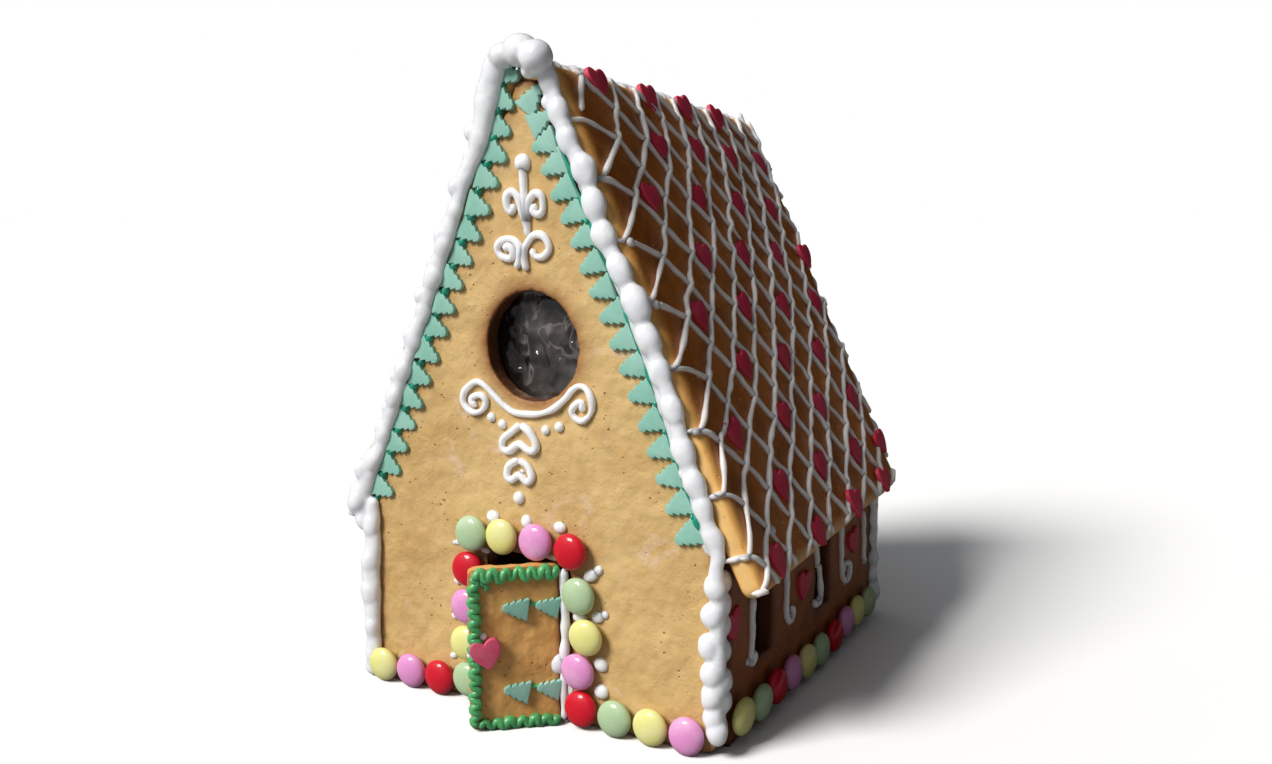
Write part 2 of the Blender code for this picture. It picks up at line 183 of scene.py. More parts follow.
class Nodes(Graph):
    """The nodes of one material, which end in one Principled shader."""

    LUMP = 0.6  # how wide a lump of noise is at a scale of 1

    def __init__(self, name: str) -> None:
        """Start an empty material of that name."""
        self.material = bpy.data.materials.new(name)
        self.material.use_nodes = True
        super().__init__(self.material.node_tree)
        self.shader = self.make("ShaderNodeBsdfPrincipled")
        self.make("ShaderNodeOutputMaterial", {"Surface": self.shader.outputs[0]})
        self.place = self.make("ShaderNodeTexCoord").outputs["Object"]

    def noise(self, size: float, detail: float = 3.0, rough: float = 0.5, twist: float = 0.0) -> Value:
        """Return soft noise.

        Args:
            size: about how many millimetres wide its lumps are.
            detail: how many finer layers it has.
            rough: how strong those are.
            twist: how much it is bent.

        Returns:
            The noise, mostly between 0.3 and 0.7.
        """
        inputs = {"Vector": self.place, "Scale": self.LUMP / (size * MM), "Detail": detail,
                  "Roughness": rough, "Distortion": twist}
        return Value(self, self.make("ShaderNodeTexNoise", inputs).outputs[0])

    def cells(self, size: float) -> Value:
        """Return the distance to the middles of scattered cells, in cell widths."""
        inputs = {"Vector": self.place, "Scale": 1.0 / (size * MM)}
        return Value(self, self.make("ShaderNodeTexVoronoi", inputs).outputs["Distance"])

    def attribute(self, name: str) -> Value:
        """Return a number stored on the mesh's points."""
        return Value(self, self.make("ShaderNodeAttribute", attribute_name=name).outputs["Fac"])

    def mix(self, first: object, second: object, share: object) -> bpy.types.NodeSocket:
        """Return the first colour, with a share of the second one over it."""
        node = self.make("ShaderNodeMix", data_type="RGBA")
        sockets = {socket.identifier: socket for socket in node.inputs}
        self.feed(sockets["Factor_Float"], share)
        self.feed(sockets["A_Color"], first)
        self.feed(sockets["B_Color"], second)
        return next(socket for socket in node.outputs if socket.identifier == "Result_Color")

    def bump(self, height: Value, depth: float) -> bpy.types.NodeSocket:
        """Return a normal bent by a height of 0 to 1 that stands for so many millimetres."""
        inputs = {"Height": height, "Distance": depth * MM, "Strength": 1.0}
        return self.make("ShaderNodeBump", inputs).outputs[0]

    def finish(self, **inputs: object) -> bpy.types.Material:
        """Feed the shader's inputs, named with underscores for spaces, and return the material."""
        for key, value in inputs.items():
            self.feed(self.shader.inputs[key.replace("_", " ")], value)
        return self.material


# ---------------- finishes


GLOW = (1.0, 0.9, 0.8)  # how far light of each colour gets into sugar
SPECK = (0.20, 0.085, 0.03)  # burnt crumbs
SMEAR = (0.72, 0.53, 0.42)  # pale sugar rubbed into the dough
DUSTING = (0.85, 0.82, 0.80)  # fine sugar on rolled paste


@dataclass(frozen=True)
class Biscuit:
    """Baked dough: mottled and pitted, and taking its rim colour where the attribute "rim" rises to 1.

    The attribute goes over 1 on narrow sides, which have a colour of their own.

    Attributes:
        name: the material's name.
        pale: its lightest colour.
        deep: its darker, better baked colour.
        rim: the colour of its edges and its pits: baked browning on the walls and the door, on the roof
            panels a painted golden highlight along their rounded edges.
        side: the colour of its narrow sides and of the insides of its openings: on the walls a painted
            shade, on the roof panels a painted golden highlight meant for their lit front ends, on the door
            its own edge colour.
        smear: how much pale sugar is smeared over it, from 0 to 1.
        rough: its roughness.
        relief: the depth of its fine relief, in millimetres.
    """

    name: str
    pale: Colour
    deep: Colour
    rim: Colour
    side: Colour
    smear: float
    rough: float
    relief: float

    def material(self) -> bpy.types.Material:
        """Return the material."""
        nodes = Nodes(self.name)
        clouds = nodes.noise(26.0, detail=4.0, rough=0.55, twist=0.6)
        mottle = nodes.noise(5.0, detail=4.0, rough=0.6)
        grain = nodes.noise(0.9, detail=2.0, rough=0.6)
        pits = nodes.cells(3.1).step(0.20, 0.08) * nodes.noise(9.0).step(0.5, 0.62)
        specks = nodes.cells(5.3).step(0.11, 0.05) * nodes.noise(13.0).step(0.48, 0.6)
        shade = clouds.step(0.34, 0.68) * 0.6 + mottle.step(0.38, 0.66) * 0.4
        colour = nodes.mix(self.pale, self.deep, shade)
        rim = nodes.attribute("rim")
        # the rim colour: baked browning on walls and door, a painted golden highlight on the roof panels
        colour = nodes.mix(colour, self.rim, rim * (0.75 + mottle * 0.5))
        # narrow sides: painted shade on the walls, a painted golden highlight on the roof panels, the edge
        # colour on the door
        colour = nodes.mix(colour, self.side, rim.step(1.0, 1.8))
        # pits take the rim colour too, so on the roof panels they carry the painted highlight
        colour = nodes.mix(colour, self.rim, pits * 0.75)
        colour = nodes.mix(colour, SPECK, specks * 0.38)
        if self.smear:
            patches = nodes.noise(17.0, detail=5.0, rough=0.6, twist=1.3).step(0.56, 0.7)
            smears = patches * nodes.noise(3.0).step(0.35, 0.6)
            colour = nodes.mix(colour, SMEAR, smears * self.smear)
        creases = nodes.noise(7.0, detail=5.0, rough=0.65).step(0.40, 0.60)
        crumbs = nodes.noise(2.2)
        height = mottle * 0.4 + grain * 0.25 + crumbs * 0.3 + creases * 0.28 - pits * 0.7
        return nodes.finish(Base_Color=colour, Roughness=self.rough + mottle * 0.18,
                            Normal=nodes.bump(height, self.relief), Specular_IOR_Level=0.4)


@dataclass(frozen=True)
class Icing:
    """Piped sugar icing that has set hard.

    Attributes:
        name: the material's name.
        colour: its colour.
        depth: its colour where it lies thin or in folds.
        rough: its roughness.
        coat: the strength of its shine.
    """

    name: str
    colour: Colour
    depth: Colour
    rough: float
    coat: float

    def material(self) -> bpy.types.Material:
        """Return the material."""
        nodes = Nodes(self.name)
        cloud = nodes.noise(7.0)
        fine = nodes.noise(1.1, detail=2.0)
        colour = nodes.mix(self.colour, self.depth, cloud.step(0.42, 0.72) * 0.7)
        return nodes.finish(Base_Color=colour, Roughness=self.rough + cloud * 0.12,
                            Normal=nodes.bump(cloud * 0.7 + fine * 0.3, 0.22),
                            Coat_Weight=self.coat, Coat_Roughness=0.12,
                            Subsurface_Weight=0.8, Subsurface_Scale=0.004,
                            Subsurface_Radius=GLOW)


@dataclass(frozen=True)
class SugarPaste:
    """Cut sugar paste: dull, faintly powdery.

    Attributes:
        name: the material's name.
        colour: its colour.
        powder: its colour under a dusting of sugar.
        rough: its roughness.
    """

    name: str
    colour: Colour
    powder: Colour
    rough: float

    def material(self) -> bpy.types.Material:
        """Return the material."""
        nodes = Nodes(self.name)
        patches = nodes.noise(9.0, detail=4.0, rough=0.6)
        dust = nodes.noise(1.4, rough=0.65)
        flecks = nodes.cells(1.7).step(0.16, 0.06) * patches.step(0.52, 0.66)
        colour = nodes.mix(self.colour, self.powder, patches.step(0.4, 0.66) * 0.7)
        colour = nodes.mix(colour, DUSTING, flecks * 0.55)
        return nodes.finish(Base_Color=colour, Roughness=self.rough + dust * 0.2,
                            Normal=nodes.bump(dust * 0.6 + patches * 0.4, 0.16),
                            Specular_IOR_Level=0.35)


@dataclass(frozen=True)
class Candy:
    """The polished sugar shell of a lentil candy.

    Attributes:
        name: the material's name.
        colour: the shell's colour.
        worn: its colour where it is thin.
    """

    name: str
    colour: Colour
    worn: Colour

    def material(self) -> bpy.types.Material:
        """Return the material."""
        nodes = Nodes("shell_" + self.name)
        cloud = nodes.noise(6.0, detail=4.0, rough=0.6)
        fine = nodes.noise(1.3)
        colour = nodes.mix(self.colour, self.worn, cloud.step(0.44, 0.72) * 0.6)
        return nodes.finish(Base_Color=colour, Roughness=0.48 + fine * 0.14,
                            Normal=nodes.bump(cloud * 0.75 + fine * 0.25, 0.10),
                            Coat_Weight=0.55, Coat_Roughness=0.10, Specular_IOR_Level=0.25,
                            Subsurface_Weight=0.12, Subsurface_Scale=0.0015,
                            Subsurface_Radius=GLOW)


@dataclass(frozen=True)
class Film:
    """Thin crinkled film over the dark room; darker, without its pale streaks and with little shine, where
    the attribute "clear" is 1.

    Attributes:
        name: the material's name.
        colour: its colour over the dark room, which paints the room's darkness onto the film as painted
            shade.
        haze_and_sheen: its pale colour along the folds and in patches, partly the film's own cloudiness and
            partly painted reflections and glints.
    """

    name: str
    colour: Colour
    haze_and_sheen: Colour

    def material(self) -> bpy.types.Material:
        """Return the material."""
        nodes = Nodes(self.name)
        folds = nodes.noise(15.0, detail=2.0, twist=1.6)
        facets = nodes.cells(9.0) * 0.5 + nodes.cells(4.0) * 0.2
        ridges = folds.step(0.47, 0.5) * folds.step(0.53, 0.5)
        clouds = nodes.noise(11.0, detail=2.0).step(0.48, 0.66)
        clear = nodes.attribute("clear")
        # pale streaks and specks: partly the film's own cloudiness, partly painted reflections and glints
        haze_and_sheen = ridges * 0.25 + clouds * 0.12 + facets.step(0.30, 0.44) * 0.06
        colour = nodes.mix(self.colour, self.haze_and_sheen, haze_and_sheen * (1 - clear))
        return nodes.finish(Base_Color=colour, Roughness=0.05 + folds * 0.12,
                            Normal=nodes.bump(folds * 0.5 + facets, 2.4),
                            Coat_Weight=1 - clear * 0.9, Coat_Roughness=0.04)


class Finish(Enum):
    """Every finish of the house."""

    # the walls' near-black side colour is painted shade on their narrow sides and inside their openings
    WALL = Biscuit("wall_biscuit", pale=(0.66, 0.45, 0.19), deep=(0.53, 0.33, 0.12),
                   rim=(0.30, 0.115, 0.03), side=(0.10, 0.034, 0.009), smear=0.5, rough=0.50, relief=0.58)
    # the roof's golden rim and side colours are a painted highlight on its rounded edges, which face the key
    # light
    ROOF = Biscuit("roof_biscuit", pale=(0.54, 0.170, 0.024), deep=(0.27, 0.074, 0.009),
                   rim=(0.92, 0.52, 0.16), side=(0.80, 0.50, 0.19), smear=0.0, rough=0.34, relief=0.28)
    # the long walls' dark side colour is painted shade too, inside their windows
    SIDE = Biscuit("side_biscuit", pale=(0.36, 0.108, 0.019), deep=(0.23, 0.062, 0.009),
                   rim=(0.14, 0.036, 0.006), side=(0.12, 0.034, 0.006), smear=0.0, rough=0.45, relief=0.4)
    # the door's dough is lighter than the walls': partly its own colour, partly painted light that makes up
    # for the little key light the door gets, turned away from it
    DOOR = Biscuit("door_biscuit", pale=(0.74, 0.405, 0.13), deep=(0.60, 0.29, 0.08),
                   rim=(0.34, 0.12, 0.025), side=(0.70, 0.36, 0.11), smear=0.0, rough=0.48, relief=0.40)
    WHITE = Icing("white_icing", (0.83, 0.84, 0.87), (0.77, 0.78, 0.82), rough=0.22, coat=0.5)
    # thread icing: a lighter copy of the white icing, its extra lightness painted light that evens out the
    # shading of the fine piping and the drips
    THREAD = Icing("thread_icing", (0.92, 0.91, 0.92), (0.85, 0.84, 0.85), rough=0.36, coat=0.2)
    # a darker copy of the thread icing: painted shade for the roof, which lies away from the key light
    ROOF_THREAD = Icing("roof_thread_icing", (0.78, 0.73, 0.70), (0.64, 0.59, 0.56), rough=0.36, coat=0.2)
    TEAL = Icing("teal_icing", (0.003, 0.32, 0.20), (0.002, 0.13, 0.075), rough=0.28, coat=0.4)
    GRASS = Icing("grass_icing", (0.085, 0.40, 0.14), (0.05, 0.28, 0.09), rough=0.36, coat=0.25)
    TREE = SugarPaste("tree_paste", (0.235, 0.49, 0.395), (0.33, 0.57, 0.48), rough=0.5)
    HEART = SugarPaste("heart_paste", (0.66, 0.06, 0.14), (0.70, 0.14, 0.23), rough=0.42)
    ROOF_HEART = SugarPaste("roof_heart_paste", (0.60, 0.028, 0.07), (0.62, 0.06, 0.11), rough=0.45)
    GREEN = Candy("green", (0.41, 0.56, 0.32), (0.53, 0.64, 0.45))
    YELLOW = Candy("yellow", (0.75, 0.72, 0.24), (0.79, 0.76, 0.42))
    PINK = Candy("pink", (0.72, 0.28, 0.57), (0.77, 0.44, 0.65))
    RED = Candy("red", (0.58, 0.0, 0.014), (0.62, 0.006, 0.027))
    FILM = Film("window_film", (0.011, 0.008, 0.007), (0.40, 0.36, 0.34))


# ---------------- shapes


def blend(first: float, second: float, share: float) -> float:
    """Return the number at a share of the way from the first to the second."""
    return first * (1 - share) + second * share


def scale_matrix(x: float, y: float, z: float) -> Matrix:
    """Return a matrix that scales by a factor along each axis."""
    return Matrix.Diagonal((x, y, z, 1.0))


def basis(x: Vector, y: Vector, z: Vector, origin: Vector) -> Matrix:
    """Return the matrix that takes the axes to three directions at a point."""
    matrix = Matrix((x, y, z)).transposed().to_4x4()
    matrix.translation = origin
    return matrix


def to_mesh(bm: bmesh.types.BMesh, name: str) -> bpy.types.Mesh:
    """Turn a bmesh into a mesh, and free it."""
    mesh = bpy.data.meshes.new(name)
    bm.to_mesh(mesh)
    bm.free()
    return mesh


def merge(meshes: Iterable[bpy.types.Mesh], name: str) -> bpy.types.Mesh:
    """Join meshes into one, and remove them."""
    bm = bmesh.new()
    for mesh in meshes:
        bm.from_mesh(mesh)
        bpy.data.meshes.remove(mesh)
    return to_mesh(bm, name)


def evaluate(mesh: bpy.types.Mesh, modifiers: Sequence[tuple[str, dict]]) -> bpy.types.Mesh:
    """Return the mesh as modifiers shape it, and remove the old one."""
    obj = bpy.data.objects.new("shaping", mesh)
    bpy.context.scene.collection.objects.link(obj)
    for kind, settings in modifiers:
        modifier = obj.modifiers.new(kind, kind)
        for key, value in settings.items():
            setattr(modifier, key, value)
    graph = bpy.context.evaluated_depsgraph_get()
    shaped = bpy.data.meshes.new_from_object(obj.evaluated_get(graph))
    bpy.data.objects.remove(obj)
    bpy.data.meshes.remove(mesh)
    return shaped


def melt(mesh: bpy.types.Mesh, voxel: float, soften: int) -> bpy.types.Mesh:
    """Melt overlapping closed shapes into one skin.

    Args:
        mesh: the shapes, in millimetres.
        voxel: the grid's size; it sets how fine the skin is.
        soften: how many times the skin is smoothed.

    Returns:
        The new mesh.
    """
    remesh = {"mode": "VOXEL", "voxel_size": voxel * COARSE, "use_smooth_shade": True}
    smooth = {"factor": 0.5, "iterations": max(1, round(soften / COARSE))}
    return evaluate(mesh, (("REMESH", remesh), ("SMOOTH", smooth)))


def read_points(mesh: bpy.types.Mesh) -> tuple[np.ndarray, np.ndarray]:
    """Return a mesh's points and their normals."""
    points = np.zeros(len(mesh.vertices) * 3, np.float32)
    normals = np.zeros(len(mesh.vertices) * 3, np.float32)
    mesh.vertices.foreach_get("co", points)
    mesh.vertices.foreach_get("normal", normals)
    return points.reshape(-1, 3), normals.reshape(-1, 3)


SEED_STEPS = (37.1, 11.3, 5.7)  # how far apart the noise of two seeds lies


def roughen(mesh: bpy.types.Mesh, waves: Sequence[Point2], seed: float) -> None:
    """Push a mesh's points in and out with noise.

    Args:
        mesh: the mesh, in millimetres.
        waves: pairs of the lumps' width and their height.
        seed: what makes one piece's lumps differ from another's.
    """
    points, normals = read_points(mesh)
    shift = Vector([seed * step for step in SEED_STEPS])
    push = np.zeros(len(points), np.float32)
    for width, height in waves:
        values = (noise.noise(Vector(point) / width + shift) for point in points.tolist())
        push += np.fromiter(values, np.float32, len(points)) * height
    mesh.vertices.foreach_set("co", (points + normals * push[:, None]).ravel())
    mesh.update()


def smooth_path(points: Sequence[Sequence[float]], step: float) -> np.ndarray:
    """Return points at even steps along a smooth curve through the given ones."""
    knots = np.array(points, float)
    padded = np.vstack([2 * knots[0] - knots[1], knots, 2 * knots[-1] - knots[-2]])
    curve = []
    for i in range(len(knots) - 1):
        a, b, c, d = padded[i:i + 4]
        count = max(2, math.ceil(float(np.linalg.norm(c - b)) / (step * 0.5)))
        for t in np.arange(count) / count:
            curve.append(0.5 * (2 * b + (c - a) * t + (2 * a - 5 * b + 4 * c - d) * t * t
                                + (3 * b - a - 3 * c + d) * t ** 3))
    curve.append(knots[-1])
    dense = np.array(curve)
    length = np.concatenate([[0.0], np.cumsum(np.linalg.norm(np.diff(dense, axis=0), axis=1))])
    stops = np.linspace(0.0, length[-1], max(3, round(length[-1] / step) + 1))
    return np.stack([np.interp(stops, length, dense[:, k]) for k in range(dense.shape[1])], 1)


ARC_STEP = 30.0


def arc(centre: Point2, radius: float, degrees: Point2) -> list[Point2]:
    """Return points along an arc, ARC_STEP degrees apart, from its first direction to its last."""
    count = round(abs(degrees[1] - degrees[0]) / ARC_STEP)
    points = []
    for share in (i / count for i in range(count + 1)):
        angle = math.radians(blend(*degrees, share))
        points.append((centre[0] + radius * math.cos(angle), centre[1] + radius * math.sin(angle)))
    return points


HEART_WAVES = (13.0, -4.0, -1.5, -0.5)  # the waves, ever shorter, that a heart's height is the sum of
HEART_MIDDLE = 2.6  # how far below their zero its middle lies
HEART_HALF = 13.4  # half of the height that they give it
HEART_POINTS = 30


def heart_outline(width: float, height: float) -> list[Point2]:
    """Return a heart's outline, its point down, with the middle of its box at the origin."""
    points = []
    for i in range(HEART_POINTS):
        t = 2 * math.pi * i / HEART_POINTS
        x = math.sin(t) * abs(math.sin(t))
        waves = sum(size * math.cos(k * t) for k, size in enumerate(HEART_WAVES, 1))
        points.append((x * width / 2, (waves + HEART_MIDDLE) / HEART_HALF * height / 2))
    return points


class Surface:
    """Something that icing and paste are laid on: rays from outside land on it."""

    def __init__(self, mesh: bpy.types.Mesh, scale: float = 1.0) -> None:
        """Index a mesh, with the scale that turns its units into millimetres."""
        points = [vertex.co * scale for vertex in mesh.vertices]
        self.tree = BVHTree.FromPolygons(points, [list(face.vertices) for face in mesh.polygons])

    def hit(self, start: Vector, direction: Vector) -> Vector | None:
        """Return where a ray lands, or nothing."""
        return self.tree.ray_cast(start, direction)[0]


@dataclass(frozen=True)
class Spot:
    """A point on a face, with the face's directions there, all in the frame's axes."""

    point: Vector
    normal: Vector
    across: Vector
    up: Vector

    def matrix(self, turn: float = 0.0, lift: float = 0.0) -> Matrix:
        """Return the matrix of a flat thing lying here: X across, Y up, Z out.

        Args:
            turn: degrees it is turned by, anticlockwise seen from outside.
            lift: how far it stands off.
        """
        flat = basis(self.across, self.up, self.normal, self.point + self.normal * lift)
        return flat @ Matrix.Rotation(math.radians(turn), 4, "Z")


class Face:
    """One side of the house with flat coordinates: u across it, v up it or down it."""

    REACH = 8.0  # how far its surface may lie from its plane

    def __init__(self, surface: Surface, place: Callable[[float, float], Vector], across: Vector,
                 up: Vector) -> None:
        """Keep the surface, and how flat coordinates become points on its plane."""
        self.surface = surface
        self.place = place
        self.across = across.normalized()
        self.up = up.normalized()
        self.normal = self.across.cross(self.up).normalized()

    def lay(self, u: float, v: float) -> Spot:
        """Return the spot on the surface at flat coordinates, or on the plane where it has a hole."""
        start = self.place(u, v)
        point = self.surface.hit(start + self.normal * FAR, -self.normal)
        if point is None or (point - start).length >= self.REACH:
            point = start
        return Spot(point, self.normal, self.across, self.up)

    def path(self, points: Sequence[Sequence[float]], step: float, lift: float = 0.0) -> list[Vector]:
        """Return a smooth path laid on the surface.

        Args:
            points: flat coordinates, and a height over the surface as a third number where it differs.
            step: the distance between the path's points.
            lift: the height over the surface of every other point.

        Returns:
            The path's points.
        """
        full = [(*point, lift)[:3] for point in points]
        path = []
        for u, v, height in smooth_path(full, step):
            spot = self.lay(u, v)
            path.append(spot.point + spot.normal * height)
        return path


class Piping:
    """Threads and dabs of icing, gathered into one mesh."""

    WAVE = 7.0  # how long the swellings of a thread are
    PHASES = (0.0, 50.0)  # the stretch of noise that the swellings are picked from
    TIP = 0.05  # how far past its ends a thread's rounding starts
    REACH = 3.0  # how far in its ends are thicker or thinner, as a share of its radius
    BURIED = 0.15  # how far a drop's middle stands off, as a share of its height

    def __init__(self, seed: int, sides: int = 4) -> None:
        """Start with nothing piped.

        Args:
            seed: starts its small random differences.
            sides: the bevel resolution of the threads.
        """
        self.curve = bpy.data.curves.new("thread", "CURVE")
        self.curve.dimensions = "3D"
        self.curve.bevel_depth = 1.0
        self.curve.bevel_resolution = sides
        self.curve.use_fill_caps = True
        self.random = random.Random(seed)
        self.dabs: list[bpy.types.Mesh] = []

    def thread(self, path: Sequence[Vector], radius: float, swell: float = 0.08, end: float = 1.0) -> None:
        """Pipe a thread with rounded ends.

        Args:
            path: the points along its middle.
            radius: its radius.
            swell: how much its radius wanders, as a share.
            end: how thick its ends are, as a share.
        """
        lengths = [0.0]
        for before, after in zip(path, path[1:]):
            lengths.append(lengths[-1] + (after - before).length)
        spline = self.curve.splines.new("POLY")
        spline.points.add(len(path) - 1)
        phase = self.random.uniform(*self.PHASES)
        for index, (point, along) in enumerate(zip(path, lengths)):
            wander = 1.0 + swell * 2.0 * noise.noise(Vector((along / self.WAVE, phase, 0.0)))
            inside = min(along, lengths[-1] - along)
            cap = min((inside + self.TIP) / radius / end, 1.0)
            share = 1.0 - (1.0 - end) * max(0.0, 1.0 - inside / (self.REACH * radius))
            spline.points[index].co = (*point, 1.0)
            spline.points[index].radius = radius * wander * share * math.sqrt(1.0 - (1.0 - cap) ** 2)

    def dab(self, matrix: Matrix, size: Point3, taper: float = 0.0, fine: int = 3) -> None:
        """Put down a rounded dab.

        Args:
            matrix: its place and directions.
            size: its half sizes along X, Y and Z.
            taper: how much thinner it gets towards +X, as a share.
            fine: the icosphere's subdivisions.
        """
        bm = bmesh.new()
        bmesh.ops.create_icosphere(bm, subdivisions=fine, radius=1.0)
        for vert in bm.verts:
            thin = 1.0 - taper * vert.co.x
            vert.co.y *= thin
            vert.co.z *= thin
        bmesh.ops.transform(bm, matrix=matrix @ scale_matrix(*size), verts=bm.verts)
        self.dabs.append(to_mesh(bm, "dab"))

    def dot(self, spot: Spot, radius: float, height: float, stretch: float = 1.0,
            turn: float = 0.0) -> None:
        """Put a flattened drop on a spot.

        Args:
            spot: the spot.
            radius: its radius across.
            height: its height.
            stretch: how much longer than wide it is.
            turn: degrees that its length is turned by.
        """
        self.dab(spot.matrix(turn, height * self.BURIED), (radius * stretch, radius, height))

    def mesh(self, name: str) -> bpy.types.Mesh:
        """Return everything piped so far as one mesh in millimetres."""
        parts = list(self.dabs)
        if self.curve.splines:
            holder = bpy.data.objects.new("thread", self.curve)
            bpy.context.scene.collection.objects.link(holder)
            graph = bpy.context.evaluated_depsgraph_get()
            parts.append(bpy.data.meshes.new_from_object(holder.evaluated_get(graph)))
            bpy.data.objects.remove(holder)
        bpy.data.curves.remove(self.curve)
        return merge(parts, name)


class Cutter:
    """Cuts flat shapes from rolled sugar paste and lays them on spots."""

    STEPS = 3  # in the rounding of the upper edge
    CREASE = math.radians(50.0)  # edges sharper than this stay sharp to the eye

    def __init__(self, outline: Sequence[Point2], thickness: float, rounding: float) -> None:
        """Make the shape once.

        Args:
            outline: its outline, anticlockwise.
            thickness: how thick the paste is rolled.
            rounding: how far its upper edge is rounded.
        """
        bm = bmesh.new()
        bottom = bm.faces.new([bm.verts.new((x, y, 0.0)) for x, y in outline])
        top = bmesh.ops.extrude_face_region(bm, geom=[bottom])
        raised = [item for item in top["geom"] if isinstance(item, bmesh.types.BMVert)]
        bmesh.ops.translate(bm, vec=(0.0, 0.0, thickness), verts=raised)
        lid = set(raised)
        rim = [edge for edge in bm.edges if edge.verts[0] in lid and edge.verts[1] in lid]
        bmesh.ops.bevel(bm, geom=rim, offset=rounding, segments=self.STEPS, profile=0.5, affect="EDGES",
                        material=-1, clamp_overlap=True)
        bmesh.ops.recalc_face_normals(bm, faces=bm.faces)
        self.shape = to_mesh(bm, "cut_paste")
        self.laid: list[Matrix] = []

    def lay(self, matrix: Matrix) -> None:
        """Lay one shape."""
        self.laid.append(matrix)

    def mesh(self, name: str) -> bpy.types.Mesh:
        """Return every laid shape as one mesh in millimetres."""
        copies = []
        for matrix in self.laid:
            copy = self.shape.copy()
            copy.transform(matrix)
            copies.append(copy)
        bpy.data.meshes.remove(self.shape)
        mesh = merge(copies, name)
        mesh.shade_smooth()
        mesh.set_sharp_from_angle(angle=self.CREASE)
        return mesh


class Kitchen:
    """Hands out finishes and puts finished pieces into the scene."""

    def __init__(self) -> None:
        """Start with no material and no piece made."""
        self.materials: dict[Finish, bpy.types.Material] = {}
        self.count = 0

    def serve(self, name: str, mesh: bpy.types.Mesh, finish: Finish,
              replaces: Sequence[str] = ()) -> None:
        """Turn a mesh in millimetres into a finished piece, with nothing below the ground.

        Args:
            name: the piece's name.
            mesh: its mesh, in millimetres in the frame's axes.
            finish: what it is made of.
            replaces: the CAD nodes that it stands for.
        """
        mesh.name = name
        points, _ = read_points(mesh)
        points[:, 2] = np.maximum(points[:, 2], 0.0)
        mesh.vertices.foreach_set("co", points.ravel())
        mesh.transform(Matrix.Scale(MM, 4))
        if finish not in self.materials:
            self.materials[finish] = finish.value.material()
        mesh.materials.clear()
        mesh.materials.append(self.materials[finish])
        obj = bpy.data.objects.new(name, mesh)
        bpy.context.scene.collection.objects.link(obj)
        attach(obj, BODY)
        if replaces:
            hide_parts(*replaces)
        self.count += 1
        mesh.calc_loop_triangles()
        log.info("%s: %d triangles", name, len(mesh.loop_triangles))


# ---------------- the house's own measures


class House:
    """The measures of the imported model, in millimetres."""

    LOW, HIGH = 100.0, 220.0  # two heights between which a gable's edges are straight
    NEAR = 8.0  # a roof panel's corners this near an end of the house belong to that end
    RIDGE = (251.8, 242.3)  # the height of the roof's outer top edge at the front and at the back

    def __init__(self) -> None:
        """Measure the frame."""
        self.front = self.low("front_gable").y
        self.back = self.high("back_gable").y
        self.depth = self.back - self.front
        self.slopes: dict[bool, Point2] = {}
        for back, end in END.items():
            gable, y = self.solid(end + "_gable"), self.centre(end + "_gable").y
            low, high = (gable.hit(Vector((FAR * 2, y, z)), -RIGHT).x for z in (self.LOW, self.HIGH))
            self.slopes[back] = (low, (low - high) / (self.HIGH - self.LOW))

    @staticmethod
    def low(node: str) -> Vector:
        """Return a node's lowest corner."""
        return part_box(node)[0] / MM

    @staticmethod
    def high(node: str) -> Vector:
        """Return a node's highest corner."""
        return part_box(node)[1] / MM

    @staticmethod
    def centre(node: str) -> Vector:
        """Return the middle of a node's box."""
        low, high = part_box(node)
        return (low + high) / (2 * MM)

    @staticmethod
    def solid(node: str) -> Surface:
        """Return a CAD node as a surface."""
        return Surface(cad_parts[node].data, 1.0 / MM)

    def edge(self, back: bool, z: float) -> float:
        """Return the distance from the middle to a gable's edge at a height."""
        low, fall = self.slopes[back]
        return min(low - fall * (z - self.LOW), self.high(END[back] + "_gable").x)

    def eaves(self, side: int) -> Point2:
        """Return the heights of a roof panel's lower edge at the front and at the back."""
        points = [vertex.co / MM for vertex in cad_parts[SIDE[side] + "_roof"].data.vertices]
        return tuple(min(point.z for point in points if abs(point.y - y) < self.NEAR)
                     for y in (self.front, self.back))


FACING = 0.5  # the least cosine between a normal and the direction that a side looks in
SAME = 0.999  # the least cosine between two normals of one flat side


def main_side(node: str, towards: Vector) -> tuple[Vector, Vector]:
    """Return the middle and the normal of a node's largest flat side that looks one way.

    Args:
        node: the node's name.
        towards: the direction that the side looks in, roughly.

    Returns:
        The side's middle in millimetres and its normal.
    """
    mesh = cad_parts[node].data
    faces = [face for face in mesh.polygons if face.normal.dot(towards) > FACING]
    largest = max(faces, key=lambda face: face.area)
    same = [face for face in faces if face.normal.dot(largest.normal) > SAME]
    area = sum(face.area for face in same)
    middle = sum((face.center * face.area for face in same), Vector()) / area
    normal = sum((face.normal * face.area for face in same), Vector()).normalized()
    return middle / MM, normal


# ---------------- panels


